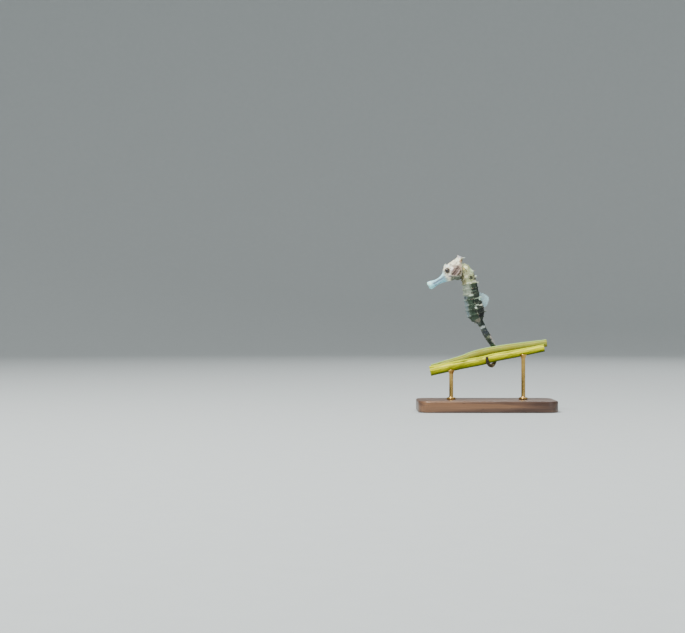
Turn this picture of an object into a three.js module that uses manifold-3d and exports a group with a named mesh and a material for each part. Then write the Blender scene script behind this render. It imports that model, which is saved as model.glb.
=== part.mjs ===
// A young seahorse, 34 mm long from snout to tail tip, upright with its tail hooked round two seagrass
// leaves, which two short rods hold over a flat display base.
// Millimetres, +Z up. The animal faces -Y, so its left side is +X.
// The origin is the middle of the base's underside.
import * as THREE from 'three';
import { mergeVertices } from 'three/addons/utils/BufferGeometryUtils.js';
import Module from 'manifold-3d';

const wasm = await Module();
wasm.setup();

// ---------- driving dimensions ----------

const CUT = 0.1; // thin cut between neighbouring pieces
const FIN_THICK = 0.5;

const BASE = { length: 27.6, width: 14, height: 2.3, corner: 2.4, bevel: 0.3 };
const ROD = { radius: 0.4, cupRadius: 0.72, cupHeight: 0.8 };
const COLLAR = { radius: 0.9, height: 0.4, slope: 0.15 }; // at a rod's foot
const ROD_AT = { front: -7.0, back: 7.4 }; // along Y
const CUP_RISE = 0.35; // how far a rod's cup comes up the sides of the leaf

// Leaf blades, set on edge: [x, y, z] down the midrib, half the width at each end, and the blade's thickness.
const LOWER_LEAF = {
  line: [
    [0.5, -11.2, 8.0], [0.5, -4.8, 9.32], [0.48, -0.9, 10.05], [0.45, 1.9, 10.75], [0.4, 5.2, 11.35],
    [0.4, 11.6, 12.62],
  ],
  halfWidth: [0.98, 0.72],
};
const UPPER_LEAF = {
  line: [
    [-0.3, -10.8, 8.5], [-0.3, -4.8, 10.3], [-0.3, -2.6, 11.15], [-0.3, 0.7, 11.98], [-0.3, 5.2, 12.7],
    [-0.3, 12.2, 13.6],
  ],
  halfWidth: [0.86, 0.74],
};
// Across the blade: the share of its half width, and how thick it is there.
const LEAF_SECTION = [[1, 0.3], [0.75, 0.48], [0, 0.6], [-0.75, 0.48], [-1, 0.3]];

const TRUNK_RINGS = 11;
const TRUNK_LENGTH = 11.8; // along the axis from the nape to the vent
const TAIL_RINGS = 30;
const TAIL_RING_SHRINK = 0.975; // each tail ring is this much of the one before it
const TAIL_TWIST = -Math.PI / 2; // the tail turns its belly side to the leaves that it grips
const TWIST_FROM = 12.5;
const TWIST_TO = 18.5;

// The body's axis, [x, y, z]: from the nape down the trunk and the tail, which goes down behind the leaves,
// under them and up in front.
const AXIS = [
  [0, -4.9, 29.0], [0, -4.0, 28.1], [0, -3.38, 26.4], [0, -3.04, 24.6], [0, -2.7, 22.6], [0, -2.22, 20.8],
  [0, -1.88, 19.4], [0, -1.38, 18.1], [0, -0.75, 17.0], [-0.05, -0.2, 15.8], [-0.3, 0.42, 14.8],
  [-0.82, 1.06, 13.95], [-1.3, 1.56, 13.0], [-1.3, 1.92, 12.0], [-1.14, 2.04, 10.9], [-0.74, 1.85, 9.85],
  [0.05, 1.3, 9.16], [1.0, 0.55, 9.26], [1.32, 0.12, 10.05], [1.27, 0.08, 10.9],
];

// Half the depth and half the width of the body, at distances along its axis.
const GIRTH = [
  { at: 0, depth: 0.85, width: 0.8 },
  { at: 1.4, depth: 1.14, width: 0.9 },
  { at: 3.1, depth: 1.4, width: 1.02 },
  { at: 5.0, depth: 1.5, width: 1.12 },
  { at: 7.0, depth: 1.58, width: 1.2 },
  { at: 9.0, depth: 1.8, width: 1.26 },
  { at: 10.3, depth: 1.78, width: 1.2 },
  { at: 11.2, depth: 1.24, width: 0.94 },
  { at: 11.9, depth: 0.77, width: 0.7 },
  { at: 13.4, depth: 0.62, width: 0.56 },
  { at: 15.6, depth: 0.58, width: 0.53 },
  { at: 17.4, depth: 0.66, width: 0.6 },
  { at: 18.6, depth: 0.52, width: 0.48 },
  { at: 20.5, depth: 0.42, width: 0.4 },
  { at: 23.5, depth: 0.36, width: 0.34 },
  { at: 27.0, depth: 0.27, width: 0.25 },
];

// Ridges, as angles round the body: 0 is its left side, 90 the back and -90 the belly.
const TRUNK_SECTION = sectionOf([52, 4, -46, -90, -134, -184, -232]);
const TAIL_SECTION = sectionOf([45, -45, -135, -225]);
const RIDGE = 1.08; // a ridge stands out this much, and the face between two ridges sinks in
const FACE = 0.93;
const SHOULDER = 0.13; // half the length of a ring's raised rim, as a share of the ring
const RIM = 0.07; // how far the rim stands out
const TRUNK_SPINE = { long: 0.72, short: 0.22, longAt: [2, 3, 6, 9] }; // longAt counts rings from the nape
const TAIL_SPINE = { long: 0.34, short: 0.15, every: 4, atTip: 0.3 }; // every fourth ring has the long ones
const BELLY_SPINE = 0.3; // a spine on the belly's keel, as a share of one on the back

// The head, from the lips to the nape: where each section is centred, and its half depth and half width.
const HEAD_TILT = THREE.MathUtils.degToRad(30); // the snout points down by this much
const HEAD = [
  { y: -11.5, z: 24.95, depth: 0.56, width: 0.42 },
  { y: -11.34, z: 25.04, depth: 0.8, width: 0.58 },
  { y: -10.85, z: 25.28, depth: 0.8, width: 0.56 },
  { y: -9.95, z: 25.7, depth: 0.6, width: 0.45 },
  { y: -8.95, z: 26.24, depth: 0.66, width: 0.48 },
  { y: -8.3, z: 26.72, depth: 0.92, width: 0.7 },
  { y: -7.65, z: 27.4, depth: 1.46, width: 0.98 },
  { y: -6.85, z: 27.84, depth: 1.63, width: 1.16 },
  { y: -6.15, z: 28.25, depth: 1.74, width: 1.22 },
  { y: -5.52, z: 28.71, depth: 1.65, width: 1.08 },
  { y: -4.95, z: 29.05, depth: 1.2, width: 0.8 },
  { y: -4.6, z: 29.2, depth: 0.6, width: 0.45 },
];
const SNOUT_SECTIONS = 6; // the first of them are the snout
const EYE = { radius: 0.55, x: 0.82, y: -7.8, z: 28.05, rimRadius: 0.72, rimDepth: 0.58, rimX: 0.68 };
const CHEEK = { x: 0.7, y: -6.05, z: 27.75, size: [0.62, 1.25, 1.15] }; // middle and half sizes
const THROAT = { y: -5.75, z: 27.1, size: [0.72, 1.15, 0.95] };

// Head spines: [x, y, z] of the root, [x, y, z] of the way it points, and its length and root radius.
const BROW_SPINE = { at: [0.6, -7.9, 28.4], way: [0.25, -0.5, 0.85], length: 1.15, radius: 0.34 };
const CHEEK_SPINE = { at: [0.85, -6.5, 27.1], way: [0.45, -0.15, -0.9], length: 0.95, radius: 0.26 };
const NOSE_SPINE = { at: [0, -8.0, 27.6], way: [0, -0.8, 0.6], length: 0.75, radius: 0.24 };
const CROWN_BUMPS = [
  { at: [0, -6.85, 29.3], way: [0, -0.3, 0.95], length: 0.5, radius: 0.4 },
  { at: [0, -6.3, 29.8], way: [0, -0.3, 0.95], length: 0.55, radius: 0.42 },
];

// The coronet's outline as [radius, height] up its own axis, and the points round its rim.
const CORONET = { y: -5.5, z: 29.97, points: 5, pointLength: 0.5, pointRadius: 0.26, rearPoint: 1.8 };
const CORONET_OUTLINE = [[0, -0.6], [1.0, -0.6], [0.76, 0.1], [0.57, 0.55], [0.61, 0.95], [0, 0.95]];
const CORONET_LEAN = THREE.MathUtils.degToRad(20);

// The back fin's rays: how far along the root, the ray's length, and its angle above level.
const DORSAL_FIN = { from: [-1.85, 23.95], to: [-0.9, 20.6] };
const DORSAL_RAYS = [
  [0, 1.5, -16], [0.12, 2.05, -12], [0.3, 2.25, -6], [0.5, 2.0, -4], [0.7, 1.6, -2], [0.88, 1.2, 2],
  [1, 0.8, 8],
];
const ANAL_FIN = { y: -2.15, z: 17.9, length: 0.65, width: 0.6 };
const PECTORAL_FIN = { x: 0.95, y: -4.3, z: 27.5, length: 1.15, flare: 32, rays: 6, spread: 118 };

const COLOURS = {
  pale: [0xd9d2bf, 0.6], snout: [0xcfdde0, 0.45], dark: [0x59594a, 0.6], tail: [0x6e675c, 0.6],
  fin: [0xc6d2cf, 0.4], eye: [0x2a2018, 0.15], lowerLeaf: [0xc9b917, 0.5], upperLeaf: [0x9c9443, 0.5],
  wood: [0x4a2f1d, 0.45], brass: [0xb08d4a, 0.3],
};

// ---------- solids ----------

// A closed geometry as a solid, whichever way its faces wind.
function solid(geometry) {
  const plain = geometry.index ? geometry.clone() : mergeVertices(geometry);
  for (const name of Object.keys(plain.attributes)) {
    if (name !== 'position') plain.deleteAttribute(name);
  }
  const merged = mergeVertices(plain, 1e-5);
  const vertProperties = merged.attributes.position.array;
  const build = (triVerts) => new wasm.Manifold(new wasm.Mesh({ numProp: 3, vertProperties, triVerts }));
  const made = build(new Uint32Array(merged.index.array));
  return made.volume() > 0 ? made : build(new Uint32Array(merged.index.array).reverse());
}

function geometryOf(made) {
  const mesh = made.getMesh();
  return new THREE.BufferGeometry()
    .setAttribute('position', new THREE.BufferAttribute(new Float32Array(mesh.vertProperties), 3))
    .setIndex(new THREE.BufferAttribute(new Uint32Array(mesh.triVerts), 1));
}

// A closed solid through rings of points, with a flat cap at each end.
function loft(rings) {
  const n = rings[0].length;
  const points = rings.flat();
  const index = [];
  for (let i = 0; i + 1 < rings.length; i++) {
    for (let j = 0; j < n; j++) {
      const [a, b] = [i * n + j, i * n + ((j + 1) % n)];
      index.push(a, b, b + n, a, b + n, a + n);
    }
  }
  for (const [ring, first, step] of [[rings[0], 0, 1], [rings.at(-1), (rings.length - 1) * n, -1]]) {
    const middle = ring.reduce((sum, p) => sum.add(p), new THREE.Vector3()).divideScalar(n);
    points.push(middle);
    for (let j = 0; j < n; j++) {
      const [a, b] = [first + j, first + ((j + 1) % n)];
      index.push(points.length - 1, step > 0 ? b : a, step > 0 ? a : b);
    }
  }
  const geometry = new THREE.BufferGeometry().setFromPoints(points);
  return solid(geometry.setIndex(index));
}

function ellipsoid(x, y, z, size, across = 14, down = 10) {
  const geometry = new THREE.SphereGeometry(1, across, down);
  return solid(geometry.scale(...size).translate(x, y, z));
}

const SPIKE_SIDES = 5;

// A cone rooted at a point and leaning along a direction; side -1 mirrors it to the animal's right.
function spike({ at, way, length, radius }, side = 1) {
  const cone = new THREE.ConeGeometry(radius, length, SPIKE_SIDES).translate(0, length / 2, 0);
  const direction = new THREE.Vector3(side * way[0], way[1], way[2]).normalize();
  const turn = new THREE.Quaternion().setFromUnitVectors(new THREE.Vector3(0, 1, 0), direction);
  return solid(cone.applyQuaternion(turn).translate(side * at[0], at[1], at[2]));
}

function joined(...solids) {
  return solids.reduce((sum, next) => sum.add(next));
}

const part = new THREE.Group();

function place(name, made, [color, roughness], metalness = 0) {
  const material = new THREE.MeshStandardMaterial({ color, roughness, metalness });
  const mesh = new THREE.Mesh(geometryOf(made), material);
  mesh.name = name;
  part.add(mesh);
}

// ---------- the body's axis ----------

const axis = new THREE.CatmullRomCurve3(AXIS.map((p) => new THREE.Vector3(...p)), false, 'centripetal');
const AXIS_STEPS = 500;
axis.arcLengthDivisions = AXIS_STEPS;
const axisLength = axis.getLength();

// The animal's left at each step along the axis, carried on from +X without turning about the axis.
const leftAt = [new THREE.Vector3(1, 0, 0)];
for (let i = 1; i <= AXIS_STEPS; i++) {
  const along = axis.getTangentAt(i / AXIS_STEPS);
  leftAt.push(leftAt[i - 1].clone().addScaledVector(along, -leftAt[i - 1].dot(along)).normalize());
}

// The point on the axis at a distance from the nape, with the animal's left and back there.
function frameAt(distance) {
  const share = THREE.MathUtils.clamp(distance / axisLength, 0, 1);
  const along = axis.getTangentAt(share);
  const left = leftAt[Math.round(share * AXIS_STEPS)].clone();
  left.addScaledVector(along, -left.dot(along)).normalize();
  left.applyAxisAngle(along, TAIL_TWIST * THREE.MathUtils.smoothstep(distance, TWIST_FROM, TWIST_TO));
  return { point: axis.getPointAt(share), left, back: left.clone().cross(along) };
}

function girthAt(distance) {
  const next = Math.max(1, GIRTH.findIndex((row) => row.at >= distance));
  const [a, b] = [GIRTH[next - 1], GIRTH[next]];
  const share = (distance - a.at) / (b.at - a.at);
  return {
    depth: THREE.MathUtils.lerp(a.depth, b.depth, share),
    width: THREE.MathUtils.lerp(a.width, b.width, share),
  };
}

// A section's corners: each ridge, and the middle of the face that follows it.
function sectionOf(ridges) {
  return ridges.flatMap((angle, i) => {
    const next = i + 1 < ridges.length ? ridges[i + 1] : ridges[0] - 360;
    return [{ angle, ridge: true }, { angle: (angle + next) / 2, ridge: false }];
  });
}

// ---------- bony rings ----------

// Where each ring starts: the trunk's are alike, and the tail's get shorter towards the tip.
function ringStarts() {
  const starts = [];
  const firstRing = 0.35;
  const trunkRing = (TRUNK_LENGTH - firstRing) / TRUNK_RINGS;
  for (let i = 0; i < TRUNK_RINGS; i++) starts.push(firstRing + i * trunkRing);
  const sum = (1 - TAIL_RING_SHRINK ** TAIL_RINGS) / (1 - TAIL_RING_SHRINK);
  let ring = (axisLength - TRUNK_LENGTH) / sum;
  let at = TRUNK_LENGTH;
  for (let i = 0; i <= TAIL_RINGS; i++) {
    starts.push(at);
    at += ring;
    ring *= TAIL_RING_SHRINK;
  }
  return starts;
}

function spineOf(ring) {
  if (ring < TRUNK_RINGS) return TRUNK_SPINE.longAt.includes(ring) ? TRUNK_SPINE.long : TRUNK_SPINE.short;
  const tailRing = ring - TRUNK_RINGS;
  const length = tailRing % TAIL_SPINE.every === 0 ? TAIL_SPINE.long : TAIL_SPINE.short;
  return length * THREE.MathUtils.lerp(1, TAIL_SPINE.atTip, tailRing / TAIL_RINGS);
}

function bodySection(distance, corners, swell, spine, extra) {
  const { point, left, back } = frameAt(distance);
  const { depth, width } = girthAt(distance);
  return corners.map(({ angle, ridge }) => {
    const turn = THREE.MathUtils.degToRad(angle);
    const stand = (ridge ? RIDGE : FACE) * (1 + swell);
    const share = THREE.MathUtils.mapLinear(Math.sin(turn), -1, 1, BELLY_SPINE, 1);
    const reach = (ridge ? spine * share : 0) + extra;
    return point.clone()
      .addScaledVector(left, (width * stand + reach) * Math.cos(turn))
      .addScaledVector(back, (depth * stand + reach) * Math.sin(turn));
  });
}

// The body over a run of rings: a hollow, the ring's rim with its spines, and the next hollow.
function bodyRun(firstRing, lastRing, extra = 0) {
  const starts = ringStarts();
  const corners = firstRing < TRUNK_RINGS ? TRUNK_SECTION : TAIL_SECTION;
  const rings = [bodySection(starts[firstRing] + CUT / 2 - extra, corners, 0, 0, extra)];
  for (let ring = firstRing; ring < lastRing; ring++) {
    const [from, to] = [starts[ring], starts[ring + 1]];
    const middle = (from + to) / 2;
    const rim = SHOULDER * (to - from);
    rings.push(
      bodySection(middle - rim, corners, RIM, 0, extra),
      bodySection(middle, corners, RIM, spineOf(ring), extra),
      bodySection(middle + rim, corners, RIM, 0, extra),
      bodySection(ring + 1 < lastRing ? to : to - CUT / 2 + extra, corners, 0, 0, extra),
    );
  }
  return loft(rings);
}

// ---------- head ----------

const HEAD_SIDES = 16;
const headAlong = new THREE.Vector3(0, Math.cos(HEAD_TILT), Math.sin(HEAD_TILT));

function headShape(extra = 0) {
  const up = new THREE.Vector3(0, -Math.sin(HEAD_TILT), Math.cos(HEAD_TILT));
  const rings = HEAD.map(({ y, z, depth, width }, i) => {
    const middle = new THREE.Vector3(0, y, z).addScaledVector(headAlong, i === HEAD.length - 1 ? extra : 0);
    return Array.from({ length: HEAD_SIDES }, (_, j) => {
      const turn = (j / HEAD_SIDES) * 2 * Math.PI;
      const sideways = new THREE.Vector3((width + extra) * Math.cos(turn), 0, 0);
      return middle.clone().add(sideways).addScaledVector(up, (depth + extra) * Math.sin(turn));
    });
  });
  return loft(rings);
}

// Both sides of a paired feature, joined.
function pair(make) {
  return make(1).add(make(-1));
}

function eye(side, extra = 0) {
  const r = EYE.radius + extra;
  return ellipsoid(side * EYE.x, EYE.y, EYE.z, [r, r, r], 16, 12);
}

function cheek(side, extra = 0) {
  return ellipsoid(side * CHEEK.x, CHEEK.y, CHEEK.z, CHEEK.size.map((v) => v + extra));
}

function throat(extra = 0) {
  return ellipsoid(0, THROAT.y, THROAT.z, THROAT.size.map((v) => v + extra));
}

function wholeHead() {
  const rims = pair((side) =>
    ellipsoid(side * EYE.rimX, EYE.y, EYE.z, [EYE.rimDepth, EYE.rimRadius, EYE.rimRadius]));
  const spines = pair((side) => joined(spike(BROW_SPINE, side), spike(CHEEK_SPINE, side)));
  const crown = CROWN_BUMPS.map((bump) => spike(bump));
  const skull = joined(headShape(), pair(cheek), throat(), rims);
  return joined(skull, spines, spike(NOSE_SPINE), ...crown).subtract(pair((side) => eye(side, CUT / 2)));
}

function coronetSolid(extra = 0) {
  const lean = new THREE.Vector3(0, Math.sin(CORONET_LEAN), Math.cos(CORONET_LEAN));
  const foot = new THREE.Vector3(0, CORONET.y, CORONET.z);
  const [rimRadius, rimHeight] = CORONET_OUTLINE.at(-2);
  const profile = CORONET_OUTLINE.map(([r, h]) =>
    new THREE.Vector2(r && r + extra, h + Math.sign(h) * extra));
  const column = new THREE.LatheGeometry(profile, 10)
    .applyQuaternion(new THREE.Quaternion().setFromUnitVectors(new THREE.Vector3(0, 1, 0), lean))
    .translate(foot.x, foot.y, foot.z);
  const rear = new THREE.Vector3(0, Math.cos(CORONET_LEAN), -Math.sin(CORONET_LEAN));
  const crown = Array.from({ length: CORONET.points }, (_, i) => {
    const turn = (i / CORONET.points) * 2 * Math.PI;
    const out = rear.clone().multiplyScalar(Math.cos(turn)).add(new THREE.Vector3(Math.sin(turn), 0, 0));
    const at = foot.clone().addScaledVector(lean, rimHeight - 0.2).addScaledVector(out, rimRadius * 0.55);
    const way = out.clone().addScaledVector(lean, 0.5);
    const length = CORONET.pointLength * (i === 0 ? CORONET.rearPoint : 1);
    return spike({ at: at.toArray(), way: way.toArray(), length, radius: CORONET.pointRadius });
  });
  return joined(solid(column), ...crown);
}

// ---------- fins ----------

// A plate of a flat outline of [y, z] points in the plane of symmetry.
function plate(outline, thick) {
  const shape = new THREE.Shape(outline.map(([y, z]) => new THREE.Vector2(y, z)));
  const geometry = new THREE.ExtrudeGeometry(shape, { depth: thick, bevelEnabled: false });
  geometry.translate(0, 0, -thick / 2);
  return solid(geometry.applyMatrix4(new THREE.Matrix4().makeBasis(
    new THREE.Vector3(0, 1, 0), new THREE.Vector3(0, 0, 1), new THREE.Vector3(1, 0, 0))));
}

function dorsalFin() {
  const { from, to } = DORSAL_FIN;
  const root = (share) => [0, 1].map((i) => THREE.MathUtils.lerp(from[i], to[i], share));
  const edge = DORSAL_RAYS.map(([share, length, angle]) => {
    const [y, z] = root(share);
    const turn = THREE.MathUtils.degToRad(angle);
    return [y + length * Math.cos(turn), z + length * Math.sin(turn)];
  });
  return plate([root(0), ...edge, root(1)], FIN_THICK);
}

function analFin() {
  const { y, z, length, width } = ANAL_FIN;
  return plate([[y + 0.5, z + 0.5], [y - width / 2, z], [y - width / 2, z - length],
    [y + width / 2, z - length * 0.8], [y + 0.6, z]], FIN_THICK);
}

function pectoralFin(side) {
  const { x, y, z, length, flare, rays, spread } = PECTORAL_FIN;
  const edge = Array.from({ length: rays + 1 }, (_, i) => {
    const turn = THREE.MathUtils.degToRad((i / rays - 0.5) * spread);
    return [length * Math.cos(turn), length * Math.sin(turn)];
  });
  const fan = plate([[-0.3, -0.25], ...edge, [-0.3, 0.25]], FIN_THICK);
  return fan.rotate([0, 0, -side * flare]).translate([side * x, y, z]);
}

// ---------- leaves and stand ----------

const LEAF_STEPS = 20;

function leafLine({ line }) {
  return new THREE.CatmullRomCurve3(line.map((p) => new THREE.Vector3(...p)));
}

// A blade standing on its edge: thickest at the midrib, blunt along both edges.
function leaf(blade, extra = 0) {
  const line = leafLine(blade);
  const across = new THREE.Vector3(1, 0, 0);
  const rings = Array.from({ length: LEAF_STEPS + 1 }, (_, i) => {
    const share = i / LEAF_STEPS;
    const at = line.getPointAt(share);
    const up = across.clone().cross(line.getTangentAt(share)).normalize();
    const half = THREE.MathUtils.lerp(...blade.halfWidth, share) + extra;
    const side = (sign) => LEAF_SECTION.map(([width, thick]) =>
      at.clone().addScaledVector(up, width * half).addScaledVector(across, sign * (thick / 2 + extra)));
    return [...side(1), ...side(-1).reverse()];
  });
  return loft(rings);
}

function base() {
  const { length, width, height, corner, bevel } = BASE;
  const [w, l] = [width / 2 - bevel, length / 2 - bevel];
  const r = corner - bevel;
  const shape = new THREE.Shape();
  for (const [i, [x, y]] of [[1, -1], [1, 1], [-1, 1], [-1, -1]].entries()) {
    const start = (i - 1) * (Math.PI / 2);
    shape.absarc(x * (w - r), y * (l - r), r, start, start + Math.PI / 2, false);
  }
  const geometry = new THREE.ExtrudeGeometry(shape, {
    depth: height - 2 * bevel, bevelThickness: bevel, bevelSize: bevel, bevelSegments: 2, curveSegments: 5,
  });
  return solid(geometry.translate(0, 0, bevel));
}

// A rod on a collar, opening into a cup that the lower leaf lies in.
function rod(y) {
  const along = leafLine(LOWER_LEAF).getSpacedPoints(200);
  const under = along.reduce((a, b) => (Math.abs(a.y - y) < Math.abs(b.y - y) ? a : b));
  const share = along.indexOf(under) / along.length;
  const top = under.z - THREE.MathUtils.lerp(...LOWER_LEAF.halfWidth, share) + CUP_RISE;
  const floor = BASE.height + CUT / 2;
  const { radius, cupRadius, cupHeight } = ROD;
  const profile = [
    [0, floor], [COLLAR.radius, floor], [COLLAR.radius, floor + COLLAR.height],
    [radius, floor + COLLAR.height + COLLAR.slope], [radius, top - cupHeight], [cupRadius, top], [0, top],
  ].map(([r, h]) => new THREE.Vector2(r, h));
  return solid(new THREE.LatheGeometry(profile, 20).rotateX(Math.PI / 2).translate(under.x, y, 0));
}

// ---------- the part ----------

const headCut = HEAD[SNOUT_SECTIONS - 1];
const headOffset = headAlong.y * headCut.y + headAlong.z * headCut.z;
const head = wholeHead();
const headGrown = joined(headShape(CUT), pair((side) => cheek(side, CUT)), throat(CUT));
const coronetGrown = coronetSolid(CUT);
const skull = head.trimByPlane(headAlong.toArray(), headOffset + CUT / 2).subtract(coronetGrown);
const snout = head.trimByPlane(headAlong.clone().negate().toArray(), -headOffset + CUT / 2);
place('head', skull, COLOURS.pale);
place('snout', snout, COLOURS.snout);
place('coronet', coronetSolid(), COLOURS.pale);
place('eye_left', eye(1), COLOURS.eye);
place('eye_right', eye(-1), COLOURS.eye);

// The body's pieces: the rings that each runs from and to.
const BODY_RUNS = [
  ['neck', 0, 3, COLOURS.pale],
  ['trunk_upper', 3, 7, COLOURS.dark],
  ['trunk_lower', 7, TRUNK_RINGS, COLOURS.dark],
  ['tail_base', TRUNK_RINGS, TRUNK_RINGS + 6, COLOURS.tail],
  ['tail_middle', TRUNK_RINGS + 6, TRUNK_RINGS + 12, COLOURS.tail],
  ['tail_grip_back', TRUNK_RINGS + 12, TRUNK_RINGS + 18, COLOURS.tail],
  ['tail_grip_under', TRUNK_RINGS + 18, TRUNK_RINGS + 24, COLOURS.tail],
  ['tail_tip', TRUNK_RINGS + 24, TRUNK_RINGS + TAIL_RINGS, COLOURS.tail],
];
for (const [name, first, last, colour] of BODY_RUNS) {
  const run = bodyRun(first, last);
  place(name, name === 'neck' ? run.subtract(headGrown).subtract(coronetGrown) : run, colour);
}

const bodyGrown = joined(...BODY_RUNS.slice(0, 4).map(([, first, last]) => bodyRun(first, last, CUT)));
place('dorsal_fin', dorsalFin().subtract(bodyGrown), COLOURS.fin);
place('anal_fin', analFin().subtract(bodyGrown), COLOURS.fin);
for (const [name, side] of [['pectoral_fin_left', 1], ['pectoral_fin_right', -1]]) {
  place(name, pectoralFin(side).subtract(bodyGrown).subtract(headGrown), COLOURS.fin);
}

const lowerGrown = leaf(LOWER_LEAF, CUT);
place('perch_leaf_lower', leaf(LOWER_LEAF), COLOURS.lowerLeaf);
place('perch_leaf_upper', leaf(UPPER_LEAF).subtract(lowerGrown), COLOURS.upperLeaf);

place('stand_base', base(), COLOURS.wood);
for (const [name, y] of Object.entries(ROD_AT)) {
  place(`stand_rod_${name}`, rod(y).subtract(lowerGrown), COLOURS.brass, 1);
}

export default part;
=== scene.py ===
import math

import bpy
import numpy as np
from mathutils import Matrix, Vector, bvhtree, noise


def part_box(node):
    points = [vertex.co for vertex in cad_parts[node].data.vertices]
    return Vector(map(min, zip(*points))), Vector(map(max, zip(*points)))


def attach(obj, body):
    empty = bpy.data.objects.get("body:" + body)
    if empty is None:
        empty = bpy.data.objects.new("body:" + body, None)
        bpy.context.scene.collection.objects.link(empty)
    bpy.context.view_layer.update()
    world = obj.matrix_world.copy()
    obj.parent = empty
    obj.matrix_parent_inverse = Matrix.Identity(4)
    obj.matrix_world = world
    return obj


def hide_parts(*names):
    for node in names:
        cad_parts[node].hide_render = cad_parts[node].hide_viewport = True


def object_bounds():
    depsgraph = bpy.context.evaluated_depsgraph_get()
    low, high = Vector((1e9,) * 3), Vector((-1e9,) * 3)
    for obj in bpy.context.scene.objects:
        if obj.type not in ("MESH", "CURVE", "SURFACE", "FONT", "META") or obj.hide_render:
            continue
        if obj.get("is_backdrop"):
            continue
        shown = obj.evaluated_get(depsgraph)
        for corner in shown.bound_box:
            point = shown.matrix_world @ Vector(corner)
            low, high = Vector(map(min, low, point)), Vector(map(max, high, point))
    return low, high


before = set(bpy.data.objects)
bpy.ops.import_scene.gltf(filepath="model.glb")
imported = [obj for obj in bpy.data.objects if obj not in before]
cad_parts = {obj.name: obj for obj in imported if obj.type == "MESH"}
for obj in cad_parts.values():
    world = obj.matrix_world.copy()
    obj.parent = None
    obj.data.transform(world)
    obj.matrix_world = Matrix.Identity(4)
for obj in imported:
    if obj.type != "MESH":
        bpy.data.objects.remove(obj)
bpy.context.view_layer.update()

# ---------------------------------------------------------------------------
# Skin
# A seahorse has no scales. Thin moist skin lies straight on rings of bony plate, so each ridge, knob and
# spine of the bone shows through it, and it runs unbroken from the lips to the tip of the tail. It is
# modelled in millimetres as overlapping closed forms, fused into one surface, and then scaled to its real
# size.
MM = 0.001

# The body's centre line, and its half depth and half width at distances from the nape.
AXIS = [
    (0, -4.9, 29.0), (0, -4.0, 28.1), (0, -3.38, 26.4), (0, -3.04, 24.6), (0, -2.7, 22.6), (0, -2.22, 20.8),
    (0, -1.88, 19.4), (0, -1.38, 18.1), (0, -0.75, 17.0), (-0.05, -0.2, 15.8), (-0.3, 0.42, 14.8),
    (-0.82, 1.06, 13.95), (-1.3, 1.56, 13.0), (-1.3, 1.92, 12.0), (-1.14, 2.04, 10.9), (-0.74, 1.85, 9.85),
    (0.05, 1.3, 9.16), (1.0, 0.55, 9.26), (1.32, 0.12, 10.05), (1.27, 0.08, 10.9),
]
GIRTH = [
    (0, 0.85, 0.8), (1.4, 1.14, 0.9), (3.1, 1.4, 1.02), (5.0, 1.5, 1.12), (7.0, 1.58, 1.2), (9.0, 1.8, 1.26),
    (10.3, 1.78, 1.2), (11.2, 1.24, 0.94), (11.9, 0.77, 0.7), (13.4, 0.62, 0.56), (15.6, 0.58, 0.53),
    (17.4, 0.66, 0.6), (18.6, 0.52, 0.48), (20.5, 0.42, 0.4), (23.5, 0.36, 0.34), (27.0, 0.27, 0.25),
]
LINE_GAP = 0.05
TRUNK_RINGS, TRUNK_LENGTH, FIRST_RING = 11, 11.8, 0.35
TAIL_RINGS, TAIL_RING_SHRINK = 30, 0.975
# Angles of the ridges in degrees round the body: 0 on its left, 90 at its back.
TRUNK_RIDGES = [52, 4, -46, -90, -134, -184, -232]
TAIL_RIDGES = [45, -45, -135, -225]
TWIST_FROM, TWIST_TO = 12.5, 18.5
TIP_ROUND = 0.16


def smooth_line(points, gap):
    """Rows an even gap apart on a smooth curve through the points, and how far along each one is."""
    points = np.array(points, dtype=float)
    p = np.vstack([2 * points[0] - points[1], points, 2 * points[-1] - points[-2]])
    dense = []
    for a, b, c, d in zip(p, p[1:], p[2:], p[3:]):
        before, here, after = (math.sqrt(np.linalg.norm(v)) for v in (b - a, c - b, d - c))
        leave = ((b - a) / before - (c - a) / (before + here) + (c - b) / here) * here
        arrive = ((c - b) / here - (d - b) / (here + after) + (d - c) / after) * here
        t = np.linspace(0, 1, 40, endpoint=False)[:, None]
        dense.append(
            (2 * t**3 - 3 * t**2 + 1) * b + (t**3 - 2 * t**2 + t) * leave
            + (3 * t**2 - 2 * t**3) * c + (t**3 - t**2) * arrive
        )
    dense = np.vstack(dense + [points[-1:]])
    reach = np.concatenate([[0], np.cumsum(np.linalg.norm(np.diff(dense, axis=0), axis=1))])
    at = np.linspace(0, reach[-1], int(reach[-1] / gap) + 1)
    return np.stack([np.interp(at, reach, column) for column in dense.T], axis=1), at


def ease(value, low, high):
    """0 below low, 1 above high, and smooth between them."""
    t = np.clip((value - low) / (high - low), 0, 1)
    return t * t * (3 - 2 * t)


def hump(value, middle, width):
    """1 at the middle, falling off smoothly to each side."""
    return np.exp(-(((value - middle) / width) ** 2))


def turned(angle):
    """The cosine and sine of an angle in degrees."""
    return math.cos(math.radians(angle)), math.sin(math.radians(angle))


def unit(vectors):
    """Each row of a table of vectors made one long."""
    return vectors / np.linalg.norm(vectors, axis=-1, keepdims=True)


def full_turn(steps):
    """Angles in radians, evenly round a circle."""
    return np.linspace(0, 2 * math.pi, steps, endpoint=False)


line, line_at = smooth_line(AXIS, LINE_GAP)
tangent = unit(np.gradient(line, axis=0))
left = np.zeros_like(line)
left[0] = (1, 0, 0)
for i in range(1, len(line)):
    left[i] = unit(left[i - 1] - tangent[i] * (left[i - 1] @ tangent[i]))
twist = -math.pi / 2 * ease(line_at, TWIST_FROM, TWIST_TO)[:, None]
left = left * np.cos(twist) + np.cross(tangent, left) * np.sin(twist)
back = np.cross(left, tangent)

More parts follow.
